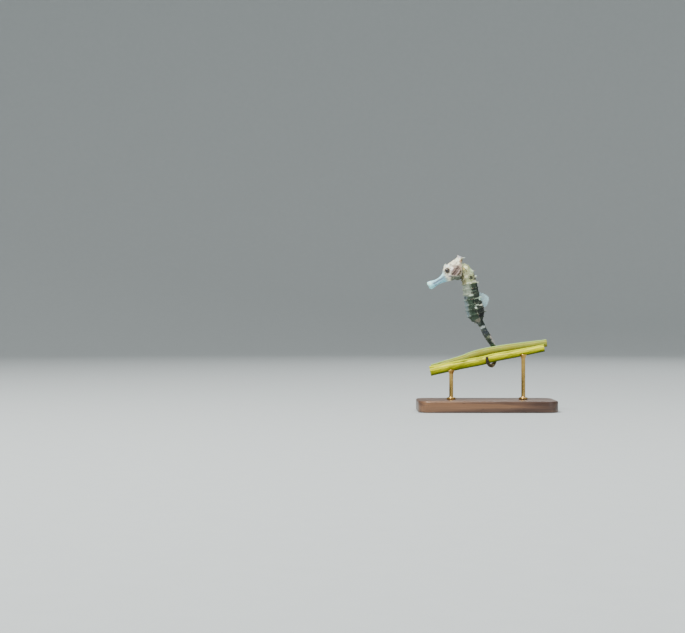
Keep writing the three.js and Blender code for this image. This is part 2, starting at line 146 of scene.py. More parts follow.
ring_starts = [FIRST_RING + i * (TRUNK_LENGTH - FIRST_RING) / TRUNK_RINGS for i in range(TRUNK_RINGS)]
first_tail_ring = (line_at[-1] - TRUNK_LENGTH) * (1 - TAIL_RING_SHRINK) / (1 - TAIL_RING_SHRINK**TAIL_RINGS)
for i in range(TAIL_RINGS + 1):
    ring_starts.append(TRUNK_LENGTH + first_tail_ring * (1 - TAIL_RING_SHRINK**i) / (1 - TAIL_RING_SHRINK))
ring_starts = np.array(ring_starts)


def ring_place(at):
    """Which bony ring a place on the body is in, and how far through that ring it is, from 0 to 1."""
    ring = np.clip(np.searchsorted(ring_starts, at, side="right") - 1, 0, len(ring_starts) - 2)
    return ring, np.clip((at - ring_starts[ring]) / (ring_starts[ring + 1] - ring_starts[ring]), 0, 1)


def off_ridge(angle, ridges):
    """0 on a ridge, rising to 1 half-way to the next."""
    ridge_turns = np.sort(np.mod(ridges, 360))
    bounds = np.concatenate([[ridge_turns[-1] - 360], ridge_turns, [ridge_turns[0] + 360]])
    slot = np.searchsorted(bounds, np.mod(angle, 360), side="right") - 1
    slot = np.clip(slot, 0, len(bounds) - 2)
    middle, half = (bounds[slot] + bounds[slot + 1]) / 2, (bounds[slot + 1] - bounds[slot]) / 2
    return 1 - np.abs(np.mod(angle, 360) - middle) / half


def girth(at):
    """The body's half depth and half width at a place along it."""
    places, depths, widths = np.array(GIRTH).T
    return np.interp(at, places, depths), np.interp(at, places, widths)


def spine_length(ring):
    """The length of a ring's thorns on the back: long on four trunk rings and every fourth tail ring."""
    if ring < TRUNK_RINGS:
        return {0: 0.06, 2: 0.72, 3: 0.72, 6: 0.55, 9: 0.55}.get(ring, 0.2)
    place = ring - TRUNK_RINGS
    return (0.34 if place % 4 == 0 else 0.15) * (1 - 0.7 * place / TAIL_RINGS)


def crossings(rings):
    """Each crossing of a ring and a ridge: the ring, its place, its row in the line and the ridge's angle."""
    for ring in range(rings):
        at = (ring_starts[ring] + ring_starts[ring + 1]) / 2
        row = int(np.argmin(np.abs(line_at - at)))
        for angle in TRUNK_RIDGES if ring < TRUNK_RINGS else TAIL_RIDGES:
            yield ring, at, row, angle


def shell(form, rings):
    """Adds a closed surface through rings of points to a form, which is a pair of lists: points and faces."""
    rings = np.asarray(rings, dtype=float)
    rows, sides = rings.shape[:2]
    first = len(form[0])
    form[0].extend(map(tuple, rings.reshape(-1, 3)))
    for i in range(rows - 1):
        for j in range(sides):
            a, b = first + i * sides + j, first + i * sides + (j + 1) % sides
            form[1].append((a, b, b + sides, a + sides))
    form[1].append(tuple(range(first + sides - 1, first - 1, -1)))
    form[1].append(tuple(range(first + (rows - 1) * sides, first + rows * sides)))


def tube(form, path, radii, sides=10):
    """Adds a round closed tube along a path of points."""
    path = np.asarray(path, dtype=float)
    way = unit(np.gradient(path, axis=0))
    across = unit(np.cross(way, (0.31, 0.17, 0.93) if abs(way[0][2]) < 0.8 else (0.93, 0.31, 0.17)))
    turn = full_turn(sides)[None, :, None]
    circle = np.cos(turn) * across[:, None] + np.sin(turn) * np.cross(way, across)[:, None]
    shell(form, path[:, None] + np.asarray(radii, dtype=float)[:, None, None] * circle)


def ball(form, centre, size, tilt=0.0, sides=32):
    """Adds an ellipsoid of three half sizes; tilt turns it about X, in degrees."""
    down = np.linspace(0.02, math.pi - 0.02, sides // 2)[:, None]
    turn = full_turn(sides)[None]
    x = np.cos(turn) * np.sin(down) * size[0]
    y = np.sin(turn) * np.sin(down) * size[1]
    z = np.cos(down) * size[2] + 0 * x
    c, s = turned(tilt)
    shell(form, np.stack([x, y * c - z * s, y * s + z * c], axis=2) + np.array(centre))


def spine(form, root, way, length, radius, bend=(0, 0, 0)):
    """Adds a blunt thorn from its root along a way, bent towards its tip."""
    t = np.linspace(0, 1, 7)[:, None]
    path = np.array(root) + unit(np.array(way, dtype=float)) * length * t + np.array(bend) * t**2
    tube(form, path, radius * np.array([1, 0.8, 0.6, 0.45, 0.34, 0.27, 0.1]))


flesh = ([], [])

# Trunk and tail: a ring's rim stands out at its middle, and a ridge runs down each corner of the section.
# The girths are the means between ridges and hollows, so ridges stand past them and hollows lie inside.
section_angle = np.linspace(0, 360, 128, endpoint=False)[None, :]
at = line_at[:, None]
through = ring_place(at)[1]
on_tail = ease(at, 11.3, 12.3)
depth, width = girth(at)
trunk_off, tail_off = off_ridge(section_angle, TRUNK_RIDGES), off_ridge(section_angle, TAIL_RIDGES)
trunk_stand = 0.93 + 0.07 * (1 - trunk_off) ** 2 + 0.08 * hump(trunk_off, 0, 0.16)
tail_stand = 0.9 + 0.14 * (1 - tail_off) ** 2 + 0.1 * hump(tail_off, 0, 0.2)
stand = trunk_stand * (1 - on_tail) + tail_stand * on_tail
rim = hump(through, 0.5, 0.1) + 0.35 * hump(through, 0.5, 0.24)
seam = hump(np.minimum(through, 1 - through), 0, 0.05)
knob_off = np.where(on_tail < 0.5, trunk_off, tail_off)
knob_size = np.where(on_tail < 0.5, 0.1, 0.05) * (1 - 0.6 * ease(at, 12, 27))
knob = knob_size * hump(knob_off, 0, 0.26) * hump(through, 0.5, 0.2)
scale = stand * (1 + 0.042 * rim) - 0.012 * seam
sideways = ((width * scale + knob) * np.cos(np.radians(section_angle)))[:, :, None]
backward = ((depth * scale + knob) * np.sin(np.radians(section_angle)))[:, :, None]
short_of_tip = ((line_at[-1] - line_at) / TIP_ROUND - 1).clip(-1, 0)
close = np.sqrt(np.clip(1 - short_of_tip**2, 0.02, 1))[:, None, None]
shell(flesh, line[:, None] + (left[:, None] * sideways + back[:, None] * backward) * close)

# Thorns where a ridge crosses a ring: longest on the back, and hardly there along the belly's keel. The
# second and third rings also have a round knob under each thorn of the back.
KNOB_RINGS = (1, 2)
THORNLESS_RINGS = 1  # at the tip of the tail
for ring, at, row, angle in crossings(TRUNK_RINGS + TAIL_RINGS - THORNLESS_RINGS):
    on_trunk = ring < TRUNK_RINGS
    depth, width = girth(at)
    c, s = turned(angle)
    radius = 0.19 if on_trunk else 0.12 * (1 - 0.6 * (ring - TRUNK_RINGS) / TAIL_RINGS)
    reach = spine_length(ring) * (0.65 + 0.35 * s)
    rim_stand = (1.08 if on_trunk else 1.12) * 1.07
    root = line[row] + left[row] * width * rim_stand * 0.8 * c + back[row] * depth * rim_stand * 0.8 * s
    sideways = left[row] * (width * rim_stand + reach) * c
    tip = line[row] + sideways + back[row] * (depth * rim_stand + reach) * s
    lean = -0.35 if ring == 2 and s > 0 else 0.12
    spine(flesh, root, tip - root, np.linalg.norm(tip - root), radius, bend=tangent[row] * lean * reach)
    if ring in KNOB_RINGS and s > 0.5:
        ball(flesh, root + (tip - root) * 0.25, (0.27, 0.27, 0.3), sides=16)

# The head: sections all leaning with the snout, from the lips to the nape. Each has its middle's place to
# the back and up, its half height and its half width.
HEAD = [
    (-11.5, 24.95, 0.56, 0.42), (-11.34, 25.04, 0.8, 0.58), (-10.85, 25.28, 0.8, 0.56),
    (-9.95, 25.7, 0.6, 0.45), (-8.95, 26.24, 0.66, 0.48), (-8.3, 26.72, 0.92, 0.7),
    (-7.65, 27.4, 1.46, 0.98), (-6.85, 27.84, 1.63, 1.16), (-6.15, 28.25, 1.74, 1.22),
    (-5.52, 28.71, 1.65, 1.08), (-4.95, 29.05, 1.2, 0.8), (-4.6, 29.2, 0.6, 0.45),
]
LIPS_Y, LIPS_Z = HEAD[0][:2]
c, s = turned(30)
HEAD_UP, HEAD_ALONG = np.array((0, -s, c)), np.array((0, c, s))
sections = smooth_line(HEAD, 0.06)[0]
turn = full_turn(96)[None, :]
middle = np.stack([0 * sections[:, 0], sections[:, 0], sections[:, 1]], axis=1)[:, None]
crown_keel = 0.05 * hump(np.degrees(turn), 90, 16) * ease(sections[:, :1], -8.6, -7.6)
chin_keel = 0.04 * hump(np.degrees(turn), 270, 20) * ease(sections[:, :1], -9.4, -8.2)
rise = (sections[:, 2:3] + crown_keel + chin_keel) * np.sin(turn)
pinch = 1 - 0.07 * ease(np.sin(turn), 0.2, 1.0) * ease(sections[:, :1], -8.4, -7.2)
across = sections[:, 3:4] * pinch * np.cos(turn)
shell(flesh, middle + across[:, :, None] * np.array((1, 0, 0)) + rise[:, :, None] * HEAD_UP)

# Each side of the head has a domed gill cover, a turret round the eye with a thick lid, a brow and four
# thorns.
EYE_X, EYE_Y, EYE_Z, EYE_RADIUS = 0.82, -7.8, 28.05, 0.55
GILL_Y, GILL_Z, GILL_LONG, GILL_HIGH = -6.05, 27.75, 1.22, 1.12
for side in (1, -1):
    ball(flesh, (side * 0.7, GILL_Y, GILL_Z), (0.6, GILL_LONG, GILL_HIGH), tilt=-18)
    ball(flesh, (side * 0.5, EYE_Y, EYE_Z), (0.64, 0.78, 0.78))
    around = np.linspace(0, 2 * math.pi, 40)[:, None]
    lid = 0.5 * (np.cos(around) * (0, 1, 0) + np.sin(around) * (0, 0, 1))
    thickness = np.full(40, 0.1) + 0.03 * np.sin(around[:, 0]).clip(0, 1)
    tube(flesh, np.array((side * 1.02, EYE_Y, EYE_Z)) + lid, thickness)
    ball(flesh, (side * 0.46, -8.02, 28.82), (0.36, 0.44, 0.46))
    for x, y, z, way, length, radius, bend in (
        (0.62, -7.85, 28.45, (0.25, -0.5, 0.85), 1.05, 0.27, (0, 0.1, 0.02)),
        (0.85, -6.5, 27.1, (0.45, -0.15, -0.9), 0.85, 0.24, (0, 0.12, 0)),
        (0.75, -5.4, 29.35, (0.6, 0.25, 0.75), 0.62, 0.24, (0, 0, 0)),
        (0.6, -6.85, 28.95, (0.5, -0.3, 0.8), 0.5, 0.26, (0, 0, 0)),
    ):
        spine(flesh, (side * x, y, z), (side * way[0], way[1], way[2]), length, radius, bend)

# Down its middle the head has a full throat, three low bumps, the coronet's mound and the middle of the brow.
ball(flesh, (0, -5.75, 27.1), (0.7, 1.13, 0.93))
for y, z, way, length, radius in (
    (-8.0, 27.6, (0, -0.8, 0.6), 0.7, 0.24), (-6.85, 29.25, (0, -0.3, 0.95), 0.45, 0.34),
    (-6.3, 29.75, (0, -0.3, 0.95), 0.5, 0.4),
):
    spine(flesh, (0, y, z), way, length, radius)
ball(flesh, (0, -5.95, 29.75), (0.55, 0.55, 0.62), tilt=-20)
ball(flesh, (0, -7.9, 28.7), (0.5, 0.42, 0.45))

# The coronet: a waisted column with a hollow top and five points round its rim, the rear one longest. Each
# ring of the column has its radius, its height and how far its five lobes stand out.
CORONET_FOOT = np.array((0, -5.5, 29.97))
POINTS = 5
CORONET_RINGS = [
    (1.0, -0.6, 0), (0.9, -0.2, 0), (0.72, 0.15, 0.03), (0.54, 0.5, 0.07), (0.5, 0.74, 0.12),
    (0.54, 0.92, 0.16), (0.47, 0.98, 0.16), (0.3, 0.8, 0.07), (0.1, 0.66, 0.02),
]
c, s = turned(20)
coronet_up, coronet_rear = np.array((0, s, c)), np.array((0, c, -s))
turn = full_turn(60)[:, None]
outward = np.cos(turn) * coronet_rear + np.sin(turn) * np.array((1, 0, 0))
lobes = 0.5 + 0.5 * np.cos(POINTS * turn)
shell(flesh, [
    CORONET_FOOT + coronet_up * height + outward * (radius + lobes * lobe)
    for radius, height, lobe in CORONET_RINGS
])
for i in range(POINTS):
    angle = i / POINTS * 2 * math.pi
    out = math.cos(angle) * coronet_rear + math.sin(angle) * np.array((1, 0, 0))
    root = CORONET_FOOT + coronet_up * 0.78 + out * 0.38
    spine(flesh, root, out + 0.45 * coronet_up, 0.78 if i == 0 else 0.46, 0.17, bend=coronet_up * 0.06)

# The forms are fused on a grid of this many millimetres: fine enough for the thorns, and coarse enough to
# keep the skin under 200,000 triangles.
FUSE_GRID = 0.058


def new_object(name, form):
    """A new object from a form's points and faces, the only one selected."""
    made = bpy.data.objects.new(name, bpy.data.meshes.new(name))
    made.data.from_pydata(form[0], [], form[1])
    bpy.context.collection.objects.link(made)
    bpy.ops.object.select_all(action="DESELECT")
    bpy.context.view_layer.objects.active = made
    made.select_set(True)
    return made


skin = new_object("skin", flesh)
for name, kind, settings in (
    ("fuse", "REMESH", {"mode": "VOXEL", "voxel_size": FUSE_GRID}),
    ("soften", "SMOOTH", {"factor": 0.5, "iterations": 2}),
):
    modifier = skin.modifiers.new(name, kind)
    for setting, value in settings.items():
        setattr(modifier, setting, value)
    bpy.ops.object.modifier_apply(modifier=name)
mesh = skin.data


def read_vectors(items, field):
    """A field of every item as rows of three numbers."""
    values = np.empty(len(items) * 3)
    items.foreach_get(field, values)
    return values.reshape(-1, 3)


def body_place(points):
    """Each point's place along the body, angle round it in degrees, and share of the way back and out."""
    nearest = np.concatenate([
        np.argmin(((chunk[:, None] - line[None, ::2]) ** 2).sum(axis=2), axis=1)
        for chunk in np.array_split(points, max(1, len(points) // 4000))
    ]) * 2
    offset = points - line[nearest]
    depth, width = girth(line_at[nearest])
    sideways = (offset * left[nearest]).sum(axis=1) / width
    backward = (offset * back[nearest]).sum(axis=1) / depth
    along = line_at[nearest] + (offset * tangent[nearest]).sum(axis=1)
    return along, np.degrees(np.arctan2(backward, sideways)), backward, np.hypot(sideways, backward)


co, normal = read_vectors(mesh.vertices, "co"), read_vectors(mesh.vertex_normals, "vector")
along, around_body, backness, outness = body_place(co)
ring, through = ring_place(along)
x, y, z = co.T
aside = np.abs(x)

# How much each point is head rather than body, and snout rather than the rest of the head, from 0 to 1.
head = ease(-y, 4.8, 5.05) * np.maximum(ease(z, 26.0, 26.25), ease(-y, 5.3, 5.5))
head = np.maximum(head, ease(z, 29.75, 29.95) * ease(-y, 3.6, 3.7))
down_snout = (y - LIPS_Y) * HEAD_ALONG[1] + (z - LIPS_Z) * HEAD_ALONG[2]
beside_snout = (y - LIPS_Y) * HEAD_UP[1] + (z - LIPS_Z) * HEAD_UP[2]
snout = head * (1 - ease(down_snout, 3.3, 4.3))

# Gill cover: fine ribs fan out over it from its front, and a crease runs round its rear edge.
GILL_RIBS = 21
rib_y, rib_z = y + 6.75, z - 27.95
cheek_oval = np.hypot((y - GILL_Y) / GILL_LONG, (z - GILL_Z) / GILL_HIGH)
gill = head * (1 - ease(cheek_oval, 0.82, 1.0)) * ease(np.hypot(rib_y, rib_z), 0.15, 0.5)
gill *= ease(aside, 0.7, 1.0)
move = 0.03 * gill * np.cos(np.arctan2(rib_z, rib_y) * GILL_RIBS)
move -= 0.05 * head * hump(cheek_oval, 1.04, 0.05) * ease(y, -6.2, -5.7) * ease(aside, 0.3, 0.6)

# Mouth: a short slanting slit across the blunt end of the snout, with a lip each side of it.
mouth = (beside_snout - 0.34) + 0.45 * down_snout + 1.6 * x**2
mouth_near = (1 - ease(down_snout, 0.3, 0.5)) * (1 - ease(aside, 0.46, 0.56))
move -= 0.09 * mouth_near * hump(mouth, 0, 0.055)
move += 0.03 * mouth_near * (hump(mouth, 0.14, 0.08) + hump(mouth, -0.14, 0.08))

# Nostrils: two small pits on each side, in front of the eye.
NOSTRILS, NOSTRIL_RADIUS = ((-8.36, 27.42), (-8.5, 27.18)), 0.065
nostril = head * sum(hump(np.hypot(y - py, z - pz), 0, NOSTRIL_RADIUS) for py, pz in NOSTRILS)
move -= 0.07 * nostril

# Ridges of the skull, as seen from the side: over the eye to the crown, from the eye to the gill cover,
# along the snout, along the lower jaw, two that meet on the crown, down the head's rear edge, and under the
# gill cover. Each has its height and half width.
SKULL_RIDGES = [
    (0.13, 0.12, [(-8.45, 28.1), (-8.2, 28.65), (-7.6, 28.8), (-6.9, 29.05), (-6.2, 29.45), (-5.8, 30.0)]),
    (0.07, 0.1, [(-7.2, 28.1), (-6.8, 28.3), (-6.3, 28.55), (-5.7, 28.75)]),
    (0.08, 0.1, [(-10.8, 25.5), (-10.2, 25.85), (-9.4, 26.35), (-8.7, 26.9), (-8.3, 27.5)]),
    (0.06, 0.09, [(-10.6, 25.1), (-9.6, 25.6), (-8.7, 26.2), (-7.9, 26.75), (-7.2, 27.0)]),
    (0.09, 0.1, [(-6.9, 29.05), (-6.2, 29.1), (-5.6, 29.3), (-5.2, 29.6)]),
    (0.07, 0.09, [(-7.5, 28.8), (-6.9, 28.5), (-6.4, 28.55), (-5.6, 29.3)]),
    (0.11, 0.13, [(-5.2, 29.7), (-5.02, 29.1), (-4.92, 28.4), (-4.95, 27.6), (-5.15, 27.0)]),
    (0.08, 0.11, [(-7.9, 27.2), (-7.3, 27.05), (-6.6, 27.0), (-5.9, 26.95), (-5.4, 26.9)]),
]
skull = np.zeros(len(co))
for height, breadth, points in SKULL_RIDGES:
    reach = np.full(len(co), 9.0)
    for py, pz in smooth_line(points, 0.06)[0]:
        reach = np.minimum(reach, np.hypot(y - py, z - pz))
    skull = np.maximum(skull, height * hump(reach, 0, breadth))
skull *= ease(aside, 0.16, 0.3) * np.maximum(head, ease(-y, 4.75, 4.9) * ease(z, 26.5, 26.9))
move += skull
around_eye = np.hypot(y - EYE_Y, z - EYE_Z)
beside_eye = head * ease(aside, 0.6, 0.75)
move += beside_eye * (0.02 * hump(around_eye, 0.56, 0.06) - 0.03 * hump(around_eye, 0.7, 0.05))
move += beside_eye * 0.015 * hump(around_eye, 0.84, 0.05)


def noise_at(points, scale, shift=(0, 0, 0)):
    """Smooth noise at each point; a larger scale gives smaller lumps, and a shift another pattern."""
    return np.array([noise.noise(Vector(p) * scale + Vector(shift)) for p in points])


# Slight unevenness all over, as on anything that grew.
grain = noise_at(co, 7.5)
uneven = noise_at(co, 0.9) + 0.7 * noise_at(co, 2.6)
move += 0.07 * noise_at(co, 2.2) * head * (1 - snout) * (1 - gill) * ease(around_eye, 0.8, 1.0)
move += (0.03 * uneven + 0.012 * grain) * (1 - 0.6 * snout)
co = co + normal * move[:, None]
mesh.vertices.foreach_set("co", (co * MM).ravel())


def linear(colour):
    """An sRGB hex colour as linear RGBA."""
    channels = [int(colour[i : i + 2], 16) / 255 for i in (1, 3, 5)]
    return [c / 12.92 if c <= 0.04045 else ((c + 0.055) / 1.055) ** 2.4 for c in channels] + [1.0]


# Markings, painted on in layers from broad to fine. Their edges wander a little, as pigment cells do.
SHIFTS = ((19.1, 7.3, 2.9), (5.7, 23.9, 11.3), (13.7, 3.1, 29.5))  # for three patterns that aren't alike
wander, fine = (
    np.stack([noise_at(co, scale, shift) for shift in SHIFTS], axis=1) for scale in (1.1, 3.6)
)
pigment = np.tile(linear("#6f7563"), (len(co), 1))


def paint(mask, hex_colour):
    """Lays a colour over the markings where the mask says."""
    pigment[:] += (np.array(linear(hex_colour)) - pigment) * np.clip(mask, 0, 1)[:, None]


def zone(value, low, high, soft):
    """1 between two values and 0 outside them, with soft edges."""
    return ease(value, low - soft, low + soft) * (1 - ease(value, high - soft, high + soft))


def patch(across, up, half_across, half_up):
    """An oval patch with a ragged edge, from how far each point is from its middle in two directions."""
    distance = np.hypot(across / half_across, up / half_up)
    return 1 - ease(distance + 0.3 * (fine[:, 0] + 0.8 * grain + 0.5 * wander[:, 2]), 0.62, 1.15)


# Ground colours down the body: place from, place to, softness, from belly (-1) to back (1), softness, colour.
body = 1 - head
place = along + 0.2 * wander[:, 0] + 0.12 * fine[:, 0] + 0.08 * grain
toback = backness + 0.2 * wander[:, 1] + 0.14 * fine[:, 1] + 0.1 * grain
GROUNDS = [
    (-2, 4.15, 0.2, -2, 2, 0.2, "#b0b692"), (-2, 4.15, 0.2, -2, -0.55, 0.2, "#8d8a6c"),
    (4.1, 6.6, 0.25, -2, 0.1, 0.25, "#959d90"), (4.1, 6.6, 0.25, -0.1, 2, 0.2, "#4c594b"),
    (6.5, 11.6, 0.3, -0.75, 0.15, 0.2, "#455849"), (6.5, 11.6, 0.3, 0.1, 2, 0.2, "#2e3c32"),
    (6.4, 10.6, 0.3, -2, -0.76, 0.12, "#828f92"), (10.4, 11.8, 0.3, -2, -0.4, 0.3, "#4a5c4c"),
    (11.7, 18.6, 0.2, -2, 2, 0.2, "#4c5650"), (18.5, 30, 0.3, -2, 2, 0.2, "#5c4c28"),
]
for start, stop, soft, low, high, blend, tint in GROUNDS:
    paint(body * zone(place, start, stop, soft) * zone(toback, low, high, blend), tint)

# Patches on the body: place along it, place from belly to back, half length, half breadth, colour.
BODY_PATCHES = [
    (0.75, 0.3, 0.42, 0.4, "#f0f0c9"), (0.7, -0.15, 0.3, 0.25, "#d6c68c"),
    (1.4, -0.06, 0.2, 0.2, "#857c40"), (1.65, 0.85, 0.4, 0.3, "#b4c4a6"), (2.1, 0.6, 0.2, 0.4, "#d2dcba"),
    (2.4, -0.38, 0.32, 0.3, "#deddc4"), (2.95, 0.25, 0.38, 0.4, "#423e29"),
    (2.75, 0.85, 0.26, 0.3, "#3f3e2e"), (3.3, 0.85, 0.22, 0.35, "#716c66"),
    (3.75, 0.75, 0.14, 0.45, "#b9bcae"), (3.85, -0.2, 0.16, 0.45, "#c8d0bb"),
    (5.05, 0.55, 0.9, 0.5, "#46523f"), (5.15, 0.35, 0.38, 0.42, "#2c382d"),
    (5.3, 1.0, 1.35, 0.36, "#0a2620"), (5.6, 0.3, 0.06, 0.42, "#76857a"),
    (5.88, 0.28, 0.17, 0.45, "#2b372d"), (6.35, -0.15, 0.26, 0.36, "#c3cfbf"),
    (6.65, -0.88, 0.3, 0.25, "#6a7476"), (7.1, -0.1, 0.22, 0.28, "#3a4a3a"),
    (7.2, 0.42, 0.12, 0.28, "#a6b6a2"), (7.85, 0.02, 0.55, 0.2, "#233627"),
    (7.35, 0.98, 0.46, 0.36, "#c3d8c6"), (8.05, 0.82, 0.24, 0.26, "#2b332a"),
    (8.5, 0.28, 0.16, 0.3, "#b8c4b4"), (9.0, 0.0, 0.22, 0.2, "#cad6ca"), (8.7, 0.78, 0.18, 0.35, "#cac9ba"),
    (9.3, -0.27, 0.6, 0.3, "#334434"), (9.95, 0.75, 0.62, 0.55, "#13241d"),
    (10.7, 0.5, 0.55, 0.5, "#0a1711"), (9.75, 0.12, 0.35, 0.28, "#2f382f"),
    (11.55, -0.15, 0.42, 0.6, "#8e8b80"), (12.2, 0.8, 0.9, 0.7, "#0a2a23"),
    (12.65, -0.1, 0.18, 0.9, "#26352f"), (13.15, -0.3, 0.3, 1.1, "#a9b0ae"),
    (14.2, 0.1, 0.6, 1.3, "#434b52"), (15.35, -0.35, 0.26, 0.8, "#868c78"),
    (15.75, 0.45, 0.36, 0.9, "#c4bbb4"), (17.3, -0.8, 0.5, 0.55, "#576c54"),
    (18.1, -0.3, 0.3, 1.2, "#2a3c26"),
]
for start, middle, half_length, half_breadth, tint in BODY_PATCHES:
    paint(body * patch(along - start, backness - middle, half_length, half_breadth), tint)

# The tail: three buff bands past the leaves, a pale left edge above them, and a dark tip.
for band in (18.9, 20.4, 22.4):
    paint(body * zone(place, band, band + 0.35, 0.1), "#8f8259")
paint(body * zone(place, 16.1, 17.9, 0.2) * ease(np.cos(np.radians(around_body)), 0.3, 0.75), "#b3b0af")
paint(body * ease(place, 23.4, 24.4), "#3d2f10")
paint(body * ease(place, 25.6, 26.2), "#22200e")

# Ring rims and ridges are paler than the panels between them, and the thorns are palest at their tips. On
# the dark back they are duller.
ridge_off = np.where(along < 11.9, off_ridge(around_body, TRUNK_RIDGES), off_ridge(around_body, TAIL_RIDGES))
rim = np.maximum(hump(through, 0.5, 0.07), hump(ridge_off, 0, 0.07))
dusky = zone(place, 4.2, 12.5, 0.3) * ease(backness, 0.45, 0.85)
paint(body * rim * (0.16 + 0.5 * fine[:, 2]) * (1 - 0.75 * dusky), "#b9bfa9")
paint(body * ease(outness, 1.16, 1.34) * np.where(ring < 4, 0.9, 0.45) * (1 - 0.5 * dusky), "#d4dcca")
paint(body * ease(outness, 1.3, 1.5) * np.isin(ring, (2, 3)) * ease(backness, 0.4, 0.9), "#c2e6e2")

# Head: cream on the crown and warmer on the cheek, with patches: place to the back, place up, half sizes,
# colour.
paint(head, "#f3efda")
cheek = head * ease(y + 0.15 * wander[:, 0], -7.3, -6.3)
paint(cheek * (1 - ease(z + 0.2 * wander[:, 1], 28.9, 29.5)), "#c5b3a6")
HEAD_PATCHES = [
    (-7.9, 28.95, 0.5, 0.4, "#f4fff6"), (-6.95, 28.42, 0.36, 0.42, "#fdf7f2"),
    (-7.1, 29.12, 0.26, 0.24, "#bfbcb0"), (-5.8, 30.2, 0.3, 0.3, "#eef7e0"),
    # The brown patches at (-5.15, 29.85) and (-4.85, 30.15) are painted shade under the coronet's rear point.
    (-7.2, 27.0, 0.5, 0.25, "#b3acae"), (-5.15, 29.85, 0.3, 0.45, "#bb9a7d"),
    (-4.85, 30.15, 0.22, 0.3, "#81734c"), (-5.2, 30.85, 0.7, 0.3, "#dcdadc"),
    (-4.2, 30.75, 0.4, 0.3, "#cfe0d8"),
]
for middle_y, middle_z, half_y, half_z, tint in HEAD_PATCHES:
    paint(head * patch(y - middle_y, z - middle_z, half_y, half_z), tint)

# Slanting mauve bars cross the gill cover: middle, half breadth, lower and upper end, colour.
CHEEK_BARS = [
    (0.0, 0.24, -1.05, 1.15, "#5c4a46"), (-0.42, 0.09, -0.5, 0.9, "#8a7270"),
    (0.42, 0.12, -0.9, 0.9, "#7a6862"), (0.68, 0.12, -0.6, 0.8, "#d0bcb6"),
    (0.95, 0.16, -0.8, 0.7, "#5f5843"),
]
bar_across = 0.79 * (y + 6.2) - 0.61 * (z - 28.1) + 0.1 * wander[:, 0]
bar_along = -0.61 * (y + 6.2) - 0.79 * (z - 28.1)
for middle, half_breadth, low, high, tint in CHEEK_BARS:
    paint(head * hump(bar_across, middle, half_breadth) ** 0.7 * zone(bar_along, low, high, 0.22), tint)

# Grey-green under the jaw, and painted shadow in brown and buff along the fold behind the gill cover.
paint(head * (1 - ease(z + 0.2 * wander[:, 0], 26.85, 27.2)) * ease(y, -7.4, -6.7), "#82887a")
paint(head * hump(y + 0.08 * wander[:, 0], -4.98, 0.16) * (1 - ease(z, 28.0, 28.5)), "#5c573d")
paint(head * hump(y + 0.08 * wander[:, 0], -4.85, 0.22) * zone(z, 28.3, 29.5, 0.2), "#a39263")

# Round the eye a pale ring with nine brown spokes, and a dark rim to the lid.
EYE_SPOKES = 9
spokes = ease(np.cos(np.arctan2(z - EYE_Z, y - EYE_Y) * EYE_SPOKES + 0.6 + wander[:, 1]), 0.3, 0.8)
paint(head * hump(around_eye, 0.64, 0.14) * ease(aside, 0.6, 0.8) * 0.7, "#efe9de")
paint(head * hump(around_eye, 0.66, 0.16) * spokes * ease(aside, 0.6, 0.8) * 0.55, "#6f5b4c")
paint(head * hump(around_eye, 0.42, 0.1) * ease(aside, 0.7, 0.9), "#5d4c40")

# Snout: pale blue, with a slate streak along its side, a lighter top and tip, and a dark mouth and nostrils.
paint(snout, "#a6d3de")
paint(snout * hump(beside_snout, -0.05, 0.2) * ease(down_snout, 0.7, 1.3), "#8b9bab")
paint(snout * ease(beside_snout, 0.25, 0.5), "#c4edf6")
paint(snout * (1 - ease(down_snout, 0.4, 1.3)), "#b4e8ea")
paint(snout * (1 - ease(down_snout, 0.5, 1.1)) * ease(beside_snout, -0.3, 0.4), "#dafffa")
paint(snout * mouth_near * hump(mouth, 0, 0.05) * 0.8, "#56626b")
paint(nostril, "#3f383a")

# Fine mottling on the crown, and the skull's ridges pale over it.
crown = head * (1 - snout) * ease(z + 0.4 * (y + 8), 28.6, 29.2)
paint(crown * hump(fine[:, 1] + 0.5 * grain, 0.0, 0.07) * 0.3, "#978c76")
paint(crown * ease(fine[:, 2] + 0.4 * grain, 0.3, 0.5) * 0.35, "#c0b7a4")
paint(head * ease(skull, 0.03, 0.1) * 0.4, "#f6f2e6")

# Wet skin is deeper in tone than its pigment.
wet_colour = 1.14 * pigment**1.4
wet_colour[:, 3] = 1.0
markings = mesh.color_attributes.new("Markings", "FLOAT_COLOR", "POINT")
markings.data.foreach_set("color", wet_colour.astype(np.float32).ravel())

# Where the flesh is thin and clear, light gets through it: the snout and the belly's edge.
clearness = np.clip(snout + 0.6 * body * (1 - ease(backness, -0.9, -0.4)), 0, 1)
clear = mesh.attributes.new("Clear", "FLOAT", "POINT")
clear.data.foreach_set("value", clearness.astype(np.float32))
mesh.polygons.foreach_set("use_smooth", [True] * len(mesh.polygons))
mesh.update()


def fill(made, inputs):
    """Gives a node's inputs, by name or in order, a value, a hex colour or the socket that feeds them."""
    for key, value in inputs.items() if isinstance(inputs, dict) else enumerate(inputs):
        if isinstance(value, bpy.types.NodeSocket):
            made.id_data.links.new(value, made.inputs[key])
        else:
            made.inputs[key].default_value = linear(value) if isinstance(value, str) else value


def start_material(name):
    """An empty material, its surface shader, the object's own coordinates, and what adds its nodes."""
    material = bpy.data.materials.new(name)
    material.use_nodes = True
    tree = material.node_tree
    tree.nodes.clear()

    def add(kind, inputs=(), out=0, stops=(), **settings):
        """Adds a node with its settings, inputs and colour stops; gives one output, or all for None."""
        made = tree.nodes.new("ShaderNode" + kind)
        for setting, value in settings.items():
            setattr(made, setting, value)
        fill(made, inputs)
        for i, (place, tint) in enumerate(stops):
            stop = made.color_ramp.elements[i] if i < 2 else made.color_ramp.elements.new(place)
            stop.position, stop.color = place, linear(tint)
        return made.outputs if out is None else made.outputs[out]

    shader = add("BsdfPrincipled")
    add("OutputMaterial", {"Surface": shader}, out=None)
    return material, shader.node, add("TexCoord", out="Object"), add


